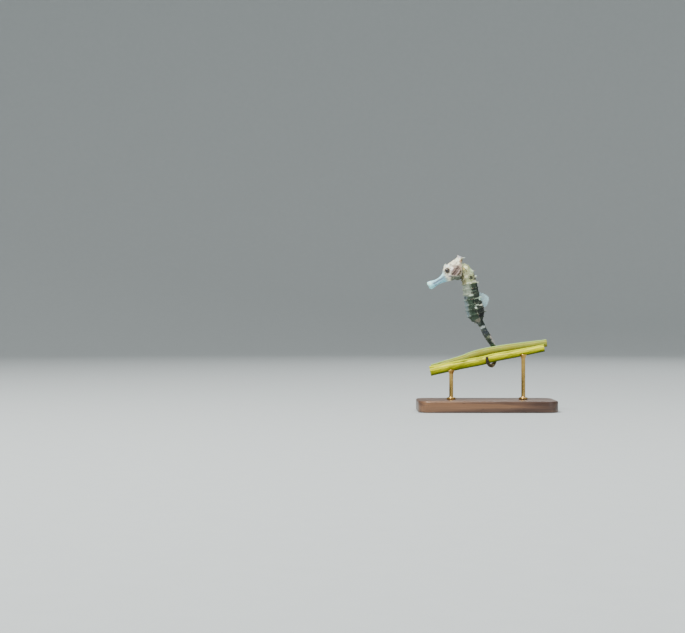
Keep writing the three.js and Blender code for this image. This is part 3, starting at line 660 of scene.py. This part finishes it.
def per_mm(size):
    """The texture scale that repeats a pattern every so many millimetres."""
    return 1 / (size * MM)


# A Mix node that mixes colours has its factor, first and second colour at inputs 0, 6 and 7.
COLOURS = {"data_type": "RGBA", "out": 2}

# Moist skin over bone: a soft, slightly clear surface with a dull wet shine, pebbled by papillae about 0.1 mm
# across and freckled with pigment cells, drawn at 0.15 to 0.3 mm so that they show.
moist_skin, surface, where, add = start_material("moist_seahorse_skin")
marks = add("Attribute", attribute_name="Markings")
clearness = add("Attribute", attribute_name="Clear", out="Fac")
mottle = add("TexNoise", {"Vector": where, "Scale": per_mm(0.45), "Detail": 5.0, "Roughness": 0.65})
shade = add("MapRange", (mottle, 0.3, 0.7, 0.72, 1.24))
toned = add("VectorMath", {0: marks, "Scale": shade}, operation="SCALE")
jitter = add("TexNoise", {"Vector": where, "Scale": per_mm(0.1), "Detail": 2.0})
scatter = add("TexNoise", {"Vector": where, "Scale": per_mm(0.7), "Detail": 3.0})
cells = add("TexVoronoi", {"Vector": where, "Scale": per_mm(0.17)})
freckle_edge = add("Math", (jitter, 0.5, cells), operation="MULTIPLY_ADD")
freckle = add("MapRange", (freckle_edge, 0.34, 0.5, 0.6, 0.0))
freckles = add("Math", (freckle, add("MapRange", (scatter, 0.42, 0.66))), operation="MULTIPLY")
freckled = add("Mix", {0: freckles, 6: toned, 7: "#4a3d2c"}, **COLOURS)
cells = add("TexVoronoi", {"Vector": where, "Scale": per_mm(0.3)})
speck_edge = add("Math", (jitter, 0.4, cells), operation="MULTIPLY_ADD")
specks = add("MapRange", (speck_edge, 0.26, 0.35, 0.35, 0.0))
pebbles = add("TexVoronoi", {"Vector": where, "Scale": per_mm(0.13)})
creases = add("TexNoise", {"Vector": where, "Scale": per_mm(0.25), "Detail": 6.0, "Roughness": 0.6})
relief = add("Math", (creases, pebbles), operation="SUBTRACT")
fill(surface, {
    "Base Color": add("Mix", {0: specks, 6: freckled, 7: "#c9cdb6"}, **COLOURS),
    "Normal": add("Bump", {"Height": relief, "Strength": 0.6, "Distance": 0.04 * MM}),
    "Roughness": add("MapRange", (mottle, 0.0, 1.0, 0.38, 0.62)),
    "Subsurface Weight": add("MapRange", (clearness, 0.0, 1.0, 0.12, 0.5)),
    "Subsurface Radius": (0.5, 0.42, 0.36),
    "Subsurface Scale": 0.4 * MM,
    "IOR": 1.38,
})
skin.data.materials.append(moist_skin)
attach(skin, "root")
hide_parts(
    "head", "snout", "coronet", "neck", "trunk_upper", "trunk_lower", "tail_base", "tail_middle",
    "tail_grip_back", "tail_grip_under", "tail_tip",
)


def built(name, rings=(), form=None):
    """A smooth object facing outwards, from rings of points or a form modelled in millimetres."""
    if form is None:
        form = ([], [])
        shell(form, rings)
    made = new_object(name, ([tuple(c * MM for c in p) for p in form[0]], form[1]))
    bpy.ops.object.mode_set(mode="EDIT")
    bpy.ops.mesh.select_all(action="SELECT")
    bpy.ops.mesh.normals_make_consistent(inside=False)
    bpy.ops.object.mode_set(mode="OBJECT")
    made.data.polygons.foreach_set("use_smooth", [True] * len(made.data.polygons))
    return made


def unwrap(made, name, place_of):
    """A UV map in which each corner's place follows from its point's number in the form."""
    uv = made.data.uv_layers.new(name=name)
    for loop in made.data.loops:
        uv.data[loop.index].uv = place_of(loop.vertex_index)


# ---------------------------------------------------------------------------
# Eyes
# Each eye is a ball 1.1 mm across in a raised turret of skin, set to look sideways and a little forward. A
# dark bronze iris, streaked from the pupil outwards, lies under a clear wet cornea.
EYE_LOOK = 14  # degrees forward of straight out
CORNEA_BULGE = 0.05

# Wet cornea over a streaked iris: near black with bronze flecks, under a mirror-smooth coat. In its map the
# way out from the pupil runs upwards, and the way round the eye runs across.
wet_eye, surface, where, add = start_material("wet_eye")
spot = add("UVMap", uv_map="IrisUV")
stretched = add("Mapping", {"Vector": spot, "Scale": (9.0, 0.6, 1.0)})
streaks = add("TexNoise", {"Vector": stretched, "Scale": 5.0, "Detail": 4.0})
iris = add("ValToRGB", (streaks,), stops=((0.38, "#1d140d"), (0.68, "#57432a")))
from_pupil = add("SeparateXYZ", (spot,), out="Y")
iris_rings = add("ValToRGB", (from_pupil,), stops=(
    (0.3, "#000000"), (0.34, "#ffffff"), (0.62, "#ffffff"), (0.72, "#4a3a30"),
))
lit = add("Mix", {0: 1.0, 6: iris, 7: iris_rings}, blend_type="MULTIPLY", **COLOURS)
flecks = add("TexNoise", {"Vector": spot, "Scale": 26.0, "Detail": 3.0})
flecked = add("Mix", {0: add("MapRange", (flecks, 0.55, 0.75, 0.0, 0.35)), 6: lit, 7: "#b79a63"}, **COLOURS)
fill(surface, {
    "Base Color": add("Mix", {0: 1.0, 6: flecked, 7: iris_rings}, blend_type="MULTIPLY", **COLOURS),
    "Roughness": 0.3, "Coat Weight": 1.0, "Coat Roughness": 0.03, "Coat IOR": 1.37,
})

c, s = turned(EYE_LOOK)
up = np.array((0, 0, 1.0))
turn = full_turn(48)[:, None]
downs = np.concatenate([[0.02], np.linspace(0.12, math.pi - 0.05, 34)])
for side, name in ((1, "left"), (-1, "right")):
    centre = np.array((side * EYE_X, EYE_Y, EYE_Z))
    out = np.array((side * c, -s, 0))
    over = np.cross(up, out)
    round_it = np.cos(turn) * over + np.sin(turn) * up
    rings = []
    for down in downs:
        bulge = 1 + CORNEA_BULGE * hump(down, 0, 0.5)
        rings.append(centre + EYE_RADIUS * (bulge * math.cos(down) * out + math.sin(down) * round_it))
    eye = built(f"eye_ball_{name}", rings)

    def iris_place(index):
        """Where a point of the eye is round the pupil, and how far from it."""
        p = np.array(eye.data.vertices[index].co) / MM - centre
        off_axis = math.acos(max(-1, min(1, p @ out / np.linalg.norm(p))))
        return (math.atan2(p @ up, p @ over) / (2 * math.pi)) % 1, off_axis / (math.pi / 2)

    unwrap(eye, "IrisUV", iris_place)
    eye.data.materials.append(wet_eye)
    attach(eye, "root")
    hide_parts(f"eye_{name}")

# ---------------------------------------------------------------------------
# Skin filaments
# Soft threads of skin grow from the thorns of the crown, nape and back. They are a few hundredths of a
# millimetre thick and up to half a millimetre long, and each bends its own way.
THREAD_TAPER = 0.021 * np.array([1.5, 1, 0.85, 0.7, 0.5, 0.2])
THREAD_SIDES = 5
THREAD_TIP_COLOUR = np.array(linear("#cfd8cc"))
THREADLESS_RINGS = 8  # at the tip of the tail
PATCH_REACH = 0.0015  # half the breadth of a thread's patch on the unwrapped skin
rng = np.random.default_rng(7)
skin_faces = bvhtree.BVHTree.FromObject(skin, bpy.context.evaluated_depsgraph_get())
threads, thread_patches, thread_colours = ([], []), [], []


def thread(root, way, length, spot):
    """A tapering thread from the skin nearest its root; spot is its place on the unwrapped skin."""
    found, facing, face, _ = skin_faces.find_nearest(Vector(root) * MM)
    start = np.array(found) / MM - np.array(facing) * 0.03
    way = unit(np.array(way) + 0.9 * np.array(facing))
    sway = rng.normal(0, 0.3, 3) * length
    t = np.linspace(0, 1, len(THREAD_TAPER))[:, None]
    first = len(threads[1])
    tube(threads, start + way * length * t + sway * t**2, THREAD_TAPER, sides=THREAD_SIDES)
    thread_patches.extend([spot] * (len(threads[1]) - first))
    marked = wet_colour[mesh.polygons[face].vertices[0]]
    for paleness in (0.1, 0.2, 0.3, 0.4, 0.5, 0.6):
        thread_colours.extend([marked + (THREAD_TIP_COLOUR - marked) * paleness] * THREAD_SIDES)


for ring, at, row, angle in crossings(TRUNK_RINGS + TAIL_RINGS - THREADLESS_RINGS):
    on_trunk = ring < TRUNK_RINGS
    depth, width = girth(at)
    c, s = turned(angle)
    if s < -0.2 or rng.random() > (0.85 if on_trunk else 0.35):
        continue
    out = left[row] * c + back[row] * s
    root = line[row] + left[row] * width * 1.3 * c + back[row] * depth * 1.3 * s
    spot = (angle % 360 / 360, 0.3 + 0.7 * at / line_at[-1])
    for _ in range(3 if ring < 5 else 2):
        length = rng.uniform(0.2, 0.45) * (1 if on_trunk else 0.5)
        astray = rng.normal(0, 0.45, 3)
        thread(root + 0.15 * astray, 0.5 * out + 0.5 * tangent[row] + astray, length, spot)
for side in (1, -1):
    for y, z, x, length in (
        (-8.35, 29.1, 0.7, 0.4), (-8.1, 29.2, 0.5, 0.3), (-7.2, 29.3, 0.6, 0.25), (-6.7, 26.6, 1.1, 0.3),
        (-5.3, 29.9, 0.9, 0.3), (-6.4, 29.9, 0.5, 0.25), (-5.0, 28.9, 1.1, 0.22), (-9.0, 27.0, 0.5, 0.15),
    ):
        spot = (0.25 - side * 0.1 + 0.02 * (y + 7), 0.3 * (y + 11.5) / 7)
        for _ in range(3):
            astray = rng.normal(0, 0.4, 3)
            root = np.array((side * x, y, z)) + 0.1 * astray
            thread(root, astray + (side * 0.3, 0.2, 0.3), length * 0.85, spot)
filaments = built("skin_threads", form=threads)
uv = filaments.data.uv_layers.new(name="OFBake")
for polygon in filaments.data.polygons:
    u, v = thread_patches[polygon.index]
    for corner, index in enumerate(polygon.loop_indices):
        across, up = turned(90 * corner)
        uv.data[index].uv = (u + PATCH_REACH * across, v + PATCH_REACH * up)
thread_marks = filaments.data.color_attributes.new("Markings", "FLOAT_COLOR", "POINT")
thread_marks.data.foreach_set("color", np.array(thread_colours, dtype=np.float32).ravel())

# Thread skin: each thread has the markings of the skin that it grows from, paling towards its tip, and is
# thin enough to glow a little.
thread_skin, surface, where, add = start_material("thread_skin")
blush = add("TexNoise", {"Vector": where, "Scale": per_mm(0.4), "Detail": 3.0})
tone = add("MapRange", (blush, 0.0, 1.0, 0.8, 1.2))
marks = add("Attribute", attribute_name="Markings")
fill(surface, {
    "Base Color": add("VectorMath", {0: marks, "Scale": tone}, operation="SCALE"),
    "Roughness": 0.45, "Subsurface Weight": 0.4, "Subsurface Scale": 0.1 * MM,
})
filaments.data.materials.append(thread_skin)
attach(filaments, "root")

# ---------------------------------------------------------------------------
# Fins
# A fin is a film of clear skin on fine jointed rays. The one on the back drives the animal forward, those
# behind the gills steer it, and the one under the belly is a mere tab. They are only a few hundredths of a
# millimetre thick, with the rays standing out a little on both faces.
FIN_ROWS = 14
STEPS_TO_A_RAY = 6


def fin(name, root, tip, rays, wave, replaced, film):
    """A rayed film between a root line and the line of ray tips, both lists of points in millimetres."""
    u = np.linspace(0, 1, rays * STEPS_TO_A_RAY + 1)
    v = np.linspace(0, 1, FIN_ROWS + 1)[None, :]
    edges = []
    for points in (root, tip):
        edge = smooth_line(points, 0.02)[0]
        share = np.linspace(0, 1, len(edge))
        edges.append(np.stack([np.interp(u, share, column) for column in edge.T], axis=1))
    ray = (0.5 + 0.5 * np.cos(u * rays * 2 * math.pi))[:, None]
    reach = v * (1 - 0.09 * (1 - ray) * v**2)
    sheet = edges[0][:, None] + (edges[1] - edges[0])[:, None] * reach[:, :, None]
    face = unit(np.cross(np.gradient(sheet, axis=1), np.gradient(sheet, axis=0)))
    ripple = wave * np.sin(u[:, None] * 7 + 1) * v**1.5
    half = 0.05 * (1 - v) ** 2 + 0.01 + 0.018 * ray**4 * (1 - 0.7 * v)
    near = sheet + face * (ripple + half)[:, :, None]
    far = sheet + face * (ripple - half)[:, :, None]
    made = built(name, np.concatenate([near, far[:, ::-1]], axis=1))

    def fin_place(index):
        """Which ray a point is at, and how far out on it, from 0 to 1."""
        column, row = divmod(index, 2 * (FIN_ROWS + 1))
        return column / STEPS_TO_A_RAY, min(row, 2 * FIN_ROWS + 1 - row) / FIN_ROWS

    unwrap(made, "FinUV", fin_place)
    made.data.materials.append(film)
    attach(made, "root")
    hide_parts(replaced)


def film_material(name, clear, milky, density):
    """Clear fin film: nearly colourless, milky along its rays and rim, and glossy because it is wet."""
    film, surface, where, add = start_material(name)
    place = add("SeparateXYZ", (add("UVMap", uv_map="FinUV"),), out=None)
    phase = add("Math", (place["X"], 2 * math.pi), operation="MULTIPLY")
    ray = add("MapRange", (add("Math", (phase,), operation="COSINE"), 0.45, 0.95))
    joint_phase = add("Math", (place["Y"], 60.0), operation="MULTIPLY")
    beads = add("MapRange", (add("Math", (joint_phase,), operation="SINE"), -1.0, 1.0, 0.75))
    bright = add("Math", (ray, beads), operation="MULTIPLY")
    cloud = add("TexNoise", {"Vector": where, "Scale": per_mm(0.5), "Detail": 4.0})
    cloudy = add("MapRange", (cloud, 0.35, 0.7, 0.4 * density, density))
    rim = add("MapRange", (place["Y"], 0.55, 1.0, 0.0, 0.22))
    rayed = add("Math", (bright, 0.4, rim), operation="MULTIPLY_ADD")
    thick_root = add("MapRange", (place["Y"], 0.0, 0.4, 0.35, 0.0))
    summed = add("Math", (cloudy, rayed), operation="ADD")
    fill(surface, {
        "Base Color": add("Mix", {0: bright, 6: clear, 7: milky}, **COLOURS),
        "Alpha": add("Math", (summed, thick_root), operation="ADD", use_clamp=True),
        "Normal": add("Bump", {"Height": bright, "Strength": 0.4, "Distance": 0.02 * MM}),
        "Roughness": 0.3, "IOR": 1.36,
    })
    return film


blue_film = film_material("clear_blue_fin_film", "#98c6d0", "#daf0f0", 0.4)
cream_film = film_material("clear_cream_fin_film", "#b5b28e", "#d9d6b4", 0.14)

# The fin on the back: share of the way down its root, length of the ray there, and its rise in degrees.
DORSAL_FROM, DORSAL_TO = np.array((0, -2.05, 23.95)), np.array((0, -1.1, 20.6))
DORSAL_RAYS = [
    (0, 1.7, -16), (0.12, 2.25, -12), (0.3, 2.42, -6), (0.5, 2.18, -4), (0.7, 1.78, -2), (0.88, 1.38, 2),
    (1, 1.0, 8),
]
root = [DORSAL_FROM + (DORSAL_TO - DORSAL_FROM) * share for share, _, _ in DORSAL_RAYS]
tip = [foot + length * np.array((0, *turned(rise))) for foot, (_, length, rise) in zip(root, DORSAL_RAYS)]
fin("fin_on_back", root, tip, rays=17, wave=0.1, replaced="dorsal_fin", film=blue_film)

root = [(0, -2.5, 18.35), (0, -2.2, 18.25), (0, -1.9, 18.15)]
tip = [(0, -2.4, 17.5), (0, -2.12, 17.4), (0, -1.88, 17.55)]
fin("fin_under_belly", root, tip, rays=4, wave=0.01, replaced="anal_fin", film=cream_film)

# The fins behind the gills: half-open fans that stand off the neck.
PECTORAL_FOOT, PECTORAL_LENGTH, PECTORAL_FLARE, PECTORAL_SPREAD = (0.8, -4.3, 27.5), 1.12, 32, 116
along_fin, off_neck = turned(PECTORAL_FLARE)
up = np.array((0, 0, 1.0))
for side, name in ((1, "left"), (-1, "right")):
    out = np.array((side * off_neck, along_fin, 0))
    foot = np.array((side * PECTORAL_FOOT[0], PECTORAL_FOOT[1], PECTORAL_FOOT[2]))
    turns = np.radians(np.linspace(-0.5, 0.5, 7) * PECTORAL_SPREAD)
    root = [foot + up * 0.3 * t / turns[-1] - out * 0.1 for t in turns]
    tip = [foot + PECTORAL_LENGTH * (out * math.cos(t) + up * math.sin(t)) for t in turns]
    node = f"pectoral_fin_{name}"
    fin(f"fin_behind_gill_{name}", root, tip, rays=13, wave=0.05 * side, replaced=node, film=cream_film)

# ---------------------------------------------------------------------------
# Seagrass
# Two strap-like leaves of living seagrass lie one over the other, cut to a short length. Each is smooth and
# juicy, with fine parallel veins, a thicker midrib and rounded edges; the near one has turned bright
# yellow.
LOWER_LEAF = [
    (0.5, -11.2, 8.0), (0.5, -4.8, 9.32), (0.48, -0.9, 10.05), (0.45, 1.9, 10.75), (0.4, 5.2, 11.35),
    (0.4, 11.6, 12.62),
]
UPPER_LEAF = [
    (-0.3, -10.8, 8.5), (-0.3, -4.8, 10.3), (-0.3, -2.6, 11.15), (-0.3, 0.7, 11.98), (-0.3, 5.2, 12.7),
    (-0.3, 12.2, 13.6),
]
BLADE_STEPS = 33  # points across each face of a blade


def leaf(name, points, half_widths, seed, replaced, finish):
    """A blade on its edge, its faces gently rippled and its margin a little uneven."""
    middle, at = smooth_line(points, 0.12)
    side_way = np.array((1.0, 0, 0))
    up = unit(np.cross(side_way, np.gradient(middle, axis=0)))
    half = half_widths[0] + (half_widths[1] - half_widths[0]) * at / at[-1]
    across = np.concatenate([np.linspace(-1, 1, BLADE_STEPS), np.linspace(1, -1, BLADE_STEPS)[1:-1]])
    facing = np.concatenate([np.ones(BLADE_STEPS), -np.ones(BLADE_STEPS - 2)])
    thick = 0.5 * (0.24 + 0.2 * hump(across, 0, 0.5)) * (1 - 0.62 * np.abs(across) ** 6)
    thick += 0.05 * hump(across, 0.4, 0.12)
    rings = []
    for i, point in enumerate(middle):
        uneven = 1 + sum(
            depth * noise.noise(Vector((at[i] * scale, seed, offset)))
            for depth, scale, offset in ((0.02, 0.9, 0), (0.012, 3, 4))
        )
        ripple = 0.035 * noise.noise(Vector((at[i] * 0.5, seed, 9)))
        sideways = (facing * thick + ripple * across)[:, None]
        rings.append(point + up[i] * (across * half[i] * uneven)[:, None] + side_way * sideways)
    made = built(name, rings)
    unwrap(made, "LeafUV", lambda index: (at[index // len(across)], across[index % len(across)]))
    made.data.materials.append(finish)
    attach(made, "root")
    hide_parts(replaced)


def leaf_material(name, young, old, shade, light, edge, painted_shade_at, painted_shade_reach):
    """Waxy seagrass leaf: streaks of two ages of green, painted shade in a slanting band where the leaves
    overlap and on its lower half, painted highlights on its fold and top edge, and veins.
    """
    waxy, surface, where, add = start_material(name)
    flat = add("UVMap", uv_map="LeafUV")
    place = add("SeparateXYZ", (flat,), out=None)
    stretched = add("Mapping", {"Vector": flat, "Scale": (0.2, 1.5, 1.0)})
    streaks = add("TexNoise", {"Vector": stretched, "Scale": 1.7, "Detail": 5.0, "Roughness": 0.6})
    drift = add("Math", (streaks, 1.3, -0.65), operation="MULTIPLY_ADD")
    across = add("Math", (place["Y"], drift), operation="ADD")
    aged = add("MapRange", (streaks, 0.46, 0.58))
    tone = add("Mix", {0: aged, 6: young, 7: old}, **COLOURS)
    slant = add("Math", (across, -1.2, place["X"]), operation="MULTIPLY_ADD")
    near_painted_shade = add("Math", (add("Math", (slant, painted_shade_at), operation="SUBTRACT"),), operation="ABSOLUTE")
    from_fold = add("Math", (add("Math", (across, 0.42), operation="SUBTRACT"),), operation="ABSOLUTE")
    for mask, tint in (
        # Painted shade in a slanting band where the leaves overlap, and painted shade on the lower half.
        (add("MapRange", (near_painted_shade, painted_shade_reach, 0.2 * painted_shade_reach, 0.0, 0.6)), shade),
        (add("MapRange", (across, -0.05, -0.8)), shade),
        # Painted highlight along the fold.
        (add("MapRange", (from_fold, 0.17, 0.02, 0.0, 0.8)), light),
        # Painted highlight along the top edge.
        (add("MapRange", (place["Y"], 0.74, 0.95, 0.0, 0.8)), edge),
    ):
        tone = add("Mix", {0: mask, 6: tone, 7: tint}, **COLOURS)
    vein_phase = add("Math", (place["Y"], 46.0), operation="MULTIPLY")
    veins = add("Math", (vein_phase,), operation="SINE")
    depth = add("MapRange", (veins, -1.0, 1.0, 0.84, 1.08))
    veined = add("VectorMath", {0: tone, "Scale": depth}, operation="SCALE")
    cells = add("TexVoronoi", {"Vector": where, "Scale": per_mm(0.55)})
    chance = add("TexNoise", {"Vector": where, "Scale": per_mm(2.2)})
    speck = add("MapRange", (cells, 0.06, 0.13, 0.7, 0.0))
    specks = add("Math", (speck, add("MapRange", (chance, 0.48, 0.6))), operation="MULTIPLY")
    grain = add("TexNoise", {"Vector": where, "Scale": per_mm(0.15), "Detail": 3.0})
    height = add("Math", (veins, 0.35, grain), operation="MULTIPLY_ADD")
    fill(surface, {
        "Base Color": add("Mix", {0: specks, 6: veined, 7: "#6b5420"}, **COLOURS),
        "Normal": add("Bump", {"Height": height, "Strength": 0.4, "Distance": 0.02 * MM}),
        "Roughness": 0.5, "Specular IOR Level": 0.12,
    })
    return waxy


# Each leaf's colours: young and old streaks, painted shade, painted highlight on the fold and on the top
# edge; then where the slanting band of painted shade lies and how far it reaches.
yellow_leaf = leaf_material(
    "yellow_seagrass_leaf", "#e2e000", "#8f9400", "#465400", "#fffc58", "#d8e628", painted_shade_at=6.6, painted_shade_reach=1.6
)
olive_leaf = leaf_material(
    "olive_seagrass_leaf", "#98a244", "#a29a2e", "#70701c", "#b6b654", "#aed67c", painted_shade_at=1.0, painted_shade_reach=0.5
)
leaf("leaf_lower", LOWER_LEAF, (0.98, 0.72), 3.1, "perch_leaf_lower", yellow_leaf)
leaf("leaf_upper", UPPER_LEAF, (0.86, 0.74), 8.4, "perch_leaf_upper", olive_leaf)

# ---------------------------------------------------------------------------
# Stand base
# A small block of walnut, planed, its corners rounded and its edges broken, finished with thin satin oil.
CORNER_ROUND, EDGE_ROUND = 2.4 * MM, 0.3 * MM
low, high = (Vector(corner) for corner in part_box("stand_base"))
size, middle = high - low, (high + low) / 2
bpy.ops.object.select_all(action="DESELECT")
bpy.ops.mesh.primitive_cube_add(size=1, location=middle)
base = bpy.context.object
base.name = "display_base"
base.scale = size
bpy.ops.object.transform_apply(location=True, rotation=True, scale=True)
for upright, offset, segments in ((True, CORNER_ROUND, 14), (False, EDGE_ROUND, 4)):
    bpy.ops.object.mode_set(mode="EDIT")
    bpy.ops.mesh.select_mode(type="EDGE")
    bpy.ops.mesh.select_all(action="DESELECT")
    bpy.ops.object.mode_set(mode="OBJECT")
    for edge in base.data.edges:
        first, second = (base.data.vertices[i].co.z for i in edge.vertices)
        edge.select = (abs(first - second) > size[2] / 2) == upright
    bpy.ops.object.mode_set(mode="EDIT")
    bpy.ops.mesh.bevel(offset=offset, segments=segments, affect="EDGES")
    bpy.ops.object.mode_set(mode="OBJECT")
bpy.ops.object.shade_smooth_by_angle(angle=math.radians(30))

# Oiled walnut: uneven brown streaks of slow and quick growth along the block, 1 to 3 mm apart, with short
# dark pores and fine fibres, drawn at a quarter of a millimetre so that they show.
walnut, surface, where, add = start_material("oiled_walnut")
long_grain = add("Mapping", {"Vector": where, "Scale": (1.0, 0.07, 1.0), "Rotation": (0.05, 0.0, 0.06)})
bend = add("TexNoise", {"Vector": long_grain, "Scale": per_mm(7), "Detail": 2.0}, out="Color")
bent = add("Mix", {"Factor": 0.0035, 4: long_grain, 5: bend}, data_type="VECTOR", out=1)
growth = add("TexNoise", {"Vector": bent, "Scale": per_mm(1.9), "Detail": 3.0, "Roughness": 0.55})
wood = add("ValToRGB", (growth,), stops=((0.36, "#442c20"), (0.62, "#7a583e"), (0.5, "#5f4332")))
fibre_way = add("Mapping", {"Vector": where, "Scale": (1.0, 0.03, 1.0)})
fibres = add("TexNoise", {"Vector": fibre_way, "Scale": per_mm(0.25), "Detail": 4.0, "Roughness": 0.6})
fibre_depth = add("MapRange", (fibres, 0.3, 0.7, 0.78, 1.15))
fibred = add("VectorMath", {0: wood, "Scale": fibre_depth}, operation="SCALE")
pore_way = add("Mapping", {"Vector": where, "Scale": (1.0, 0.12, 1.0)})
pores = add("TexVoronoi", {"Vector": pore_way, "Scale": per_mm(0.32)})
open_pores = add("MapRange", (pores, 0.08, 0.16, 0.75, 0.0))
fill(surface, {
    "Base Color": add("Mix", {0: open_pores, 6: fibred, 7: "#20130c"}, **COLOURS),
    "Normal": add("Bump", {"Height": pores, "Strength": 0.15, "Distance": 0.02 * MM}),
    "Roughness": 0.42, "Coat Weight": 0.25, "Coat Roughness": 0.25,
})
base.data.materials.append(walnut)
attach(base, "root")
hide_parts("stand_base")

# ---------------------------------------------------------------------------
# Stand rods
# Two rods of turned brass, each pressed into a foot collar and opened at its top into a cup, where the
# lower leaf's edge lies.

# Turned brass: fine rings left by the tool, drawn 0.09 mm apart, and slightly uneven colour where it was
# handled.
brass, surface, where, add = start_material("turned_brass")
up_rod = add("SeparateXYZ", (where,), out="Z")
ring_phase = add("Math", (up_rod, 2 * math.pi * per_mm(0.09)), operation="MULTIPLY")
tool_marks = add("Math", (ring_phase,), operation="SINE")
handled = add("TexNoise", {"Vector": where, "Scale": per_mm(1.2), "Detail": 4.0})
fill(surface, {
    "Base Color": add("Mix", {0: handled, 6: "#c9a45c", 7: "#b08d4a"}, **COLOURS),
    "Roughness": add("MapRange", (handled, 0.0, 1.0, 0.2, 0.36)),
    "Normal": add("Bump", {"Height": tool_marks, "Strength": 0.12, "Distance": 0.01 * MM}),
    "Metallic": 1.0,
})
# Radius and height of each step of a rod, up from the floor and down from its top.
COLLAR = [
    (0.02, 0), (0.84, 0), (0.9, 0.06), (0.9, 0.3), (0.84, 0.38), (0.6, 0.43), (0.46, 0.5), (0.4, 0.6),
]
CUP = [
    (0.4, 0.86), (0.46, 0.7), (0.6, 0.4), (0.7, 0.1), (0.72, 0.04), (0.7, 0), (0.64, 0), (0.5, 0.22),
    (0.2, 0.36), (0.02, 0.38),
]
turn = full_turn(48)
for end in ("front", "back"):
    low, high = (np.array(corner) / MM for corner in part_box(f"stand_rod_{end}"))
    centre = (low + high) / 2
    profile = [(r, low[2] + up) for r, up in COLLAR] + [(r, high[2] - down) for r, down in CUP]
    rod = built(f"display_rod_{end}", [
        np.stack([centre[0] + r * np.cos(turn), centre[1] + r * np.sin(turn), 0 * turn + h], axis=1)
        for r, h in profile
    ])
    bpy.ops.object.shade_smooth_by_angle(angle=math.radians(35))
    rod.data.materials.append(brass)
    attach(rod, "root")
    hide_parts(f"stand_rod_{end}")

# ---------------------------------------------------------------------------
# Floor, light and camera
# A sweep of pale paper lies under the model and rises softly on all sides of it. One broad lamp hangs above,
# and two weaker ones lighten the shadows and the edges.
FLAT, CURVE, STEPS_ROUND = 480, 300, 96
sweep = [(r, 0.0) for r in (0.001, 100, 300, FLAT)]
rise = np.radians(np.linspace(6, 90, 15))
sweep += [(FLAT + CURVE * math.sin(a), CURVE - CURVE * math.cos(a)) for a in rise]
sweep += [(FLAT + CURVE, 600), (FLAT + CURVE, 900)]
points = [(r * math.cos(t), r * math.sin(t), height) for r, height in sweep for t in full_turn(STEPS_ROUND)]
faces = []
for i in range(len(sweep) - 1):
    for j in range(STEPS_ROUND):
        a, b = i * STEPS_ROUND + j, i * STEPS_ROUND + (j + 1) % STEPS_ROUND
        faces.append((a, b, b + STEPS_ROUND, a + STEPS_ROUND))
floor = built("floor", form=(points, faces))

# Pale matt paper, with a faint cloudiness of its fibres.
paper, surface, where, add = start_material("pale_paper_sweep")
fibre = add("TexNoise", {"Vector": where, "Scale": per_mm(3), "Detail": 3.0})
fill(surface, {"Base Color": add("Mix", {0: fibre, 6: "#b4babb", 7: "#b9bfc0"}, **COLOURS), "Roughness": 0.9})
floor.data.materials.append(paper)
floor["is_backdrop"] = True

for name, place, aim, size, power, tint in (
    ("lamp_above", (0.2, -0.14, 0.4), (0, -0.002, 0.018), 0.2, 4.5, "#fffefa"),
    ("lamp_fill", (0.32, 0.3, 0.16), (0, 0, 0.015), 0.3, 0.45, "#eef4ff"),
    ("lamp_rim", (-0.3, 0.1, 0.3), (0, 0, 0.02), 0.16, 0.6, "#ffffff"),
):
    light = bpy.data.lights.new(name, "AREA")
    light.size, light.energy, light.color = size, power, linear(tint)[:3]
    lamp = bpy.data.objects.new(name, light)
    lamp.location = place
    lamp.rotation_euler = (Vector(aim) - Vector(place)).to_track_quat("-Z", "Y").to_euler()
    bpy.context.collection.objects.link(lamp)

world = bpy.data.worlds.new("studio")
world.use_nodes = True
fill(world.node_tree.nodes["Background"], {"Color": "#dfe6ea", "Strength": 0.3})
bpy.context.scene.world = world

# The frame is 137 mm wide where the animal is, level, with the animal right of its middle.
FRAME_WIDTH, FRAME_MIDDLE = 137, (-28.7, 18.9)
camera_data = bpy.data.cameras.new("camera")
camera_data.sensor_width, camera_data.lens = 36, 85
camera_data.clip_start, camera_data.clip_end = 0.005, 4
distance = FRAME_WIDTH * camera_data.lens / camera_data.sensor_width
camera = bpy.data.objects.new("camera", camera_data)
camera.location = (distance * MM, FRAME_MIDDLE[0] * MM, FRAME_MIDDLE[1] * MM)
camera.rotation_euler = (math.radians(90), 0, math.radians(90))
bpy.context.collection.objects.link(camera)
bpy.context.scene.camera = camera

low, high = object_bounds()
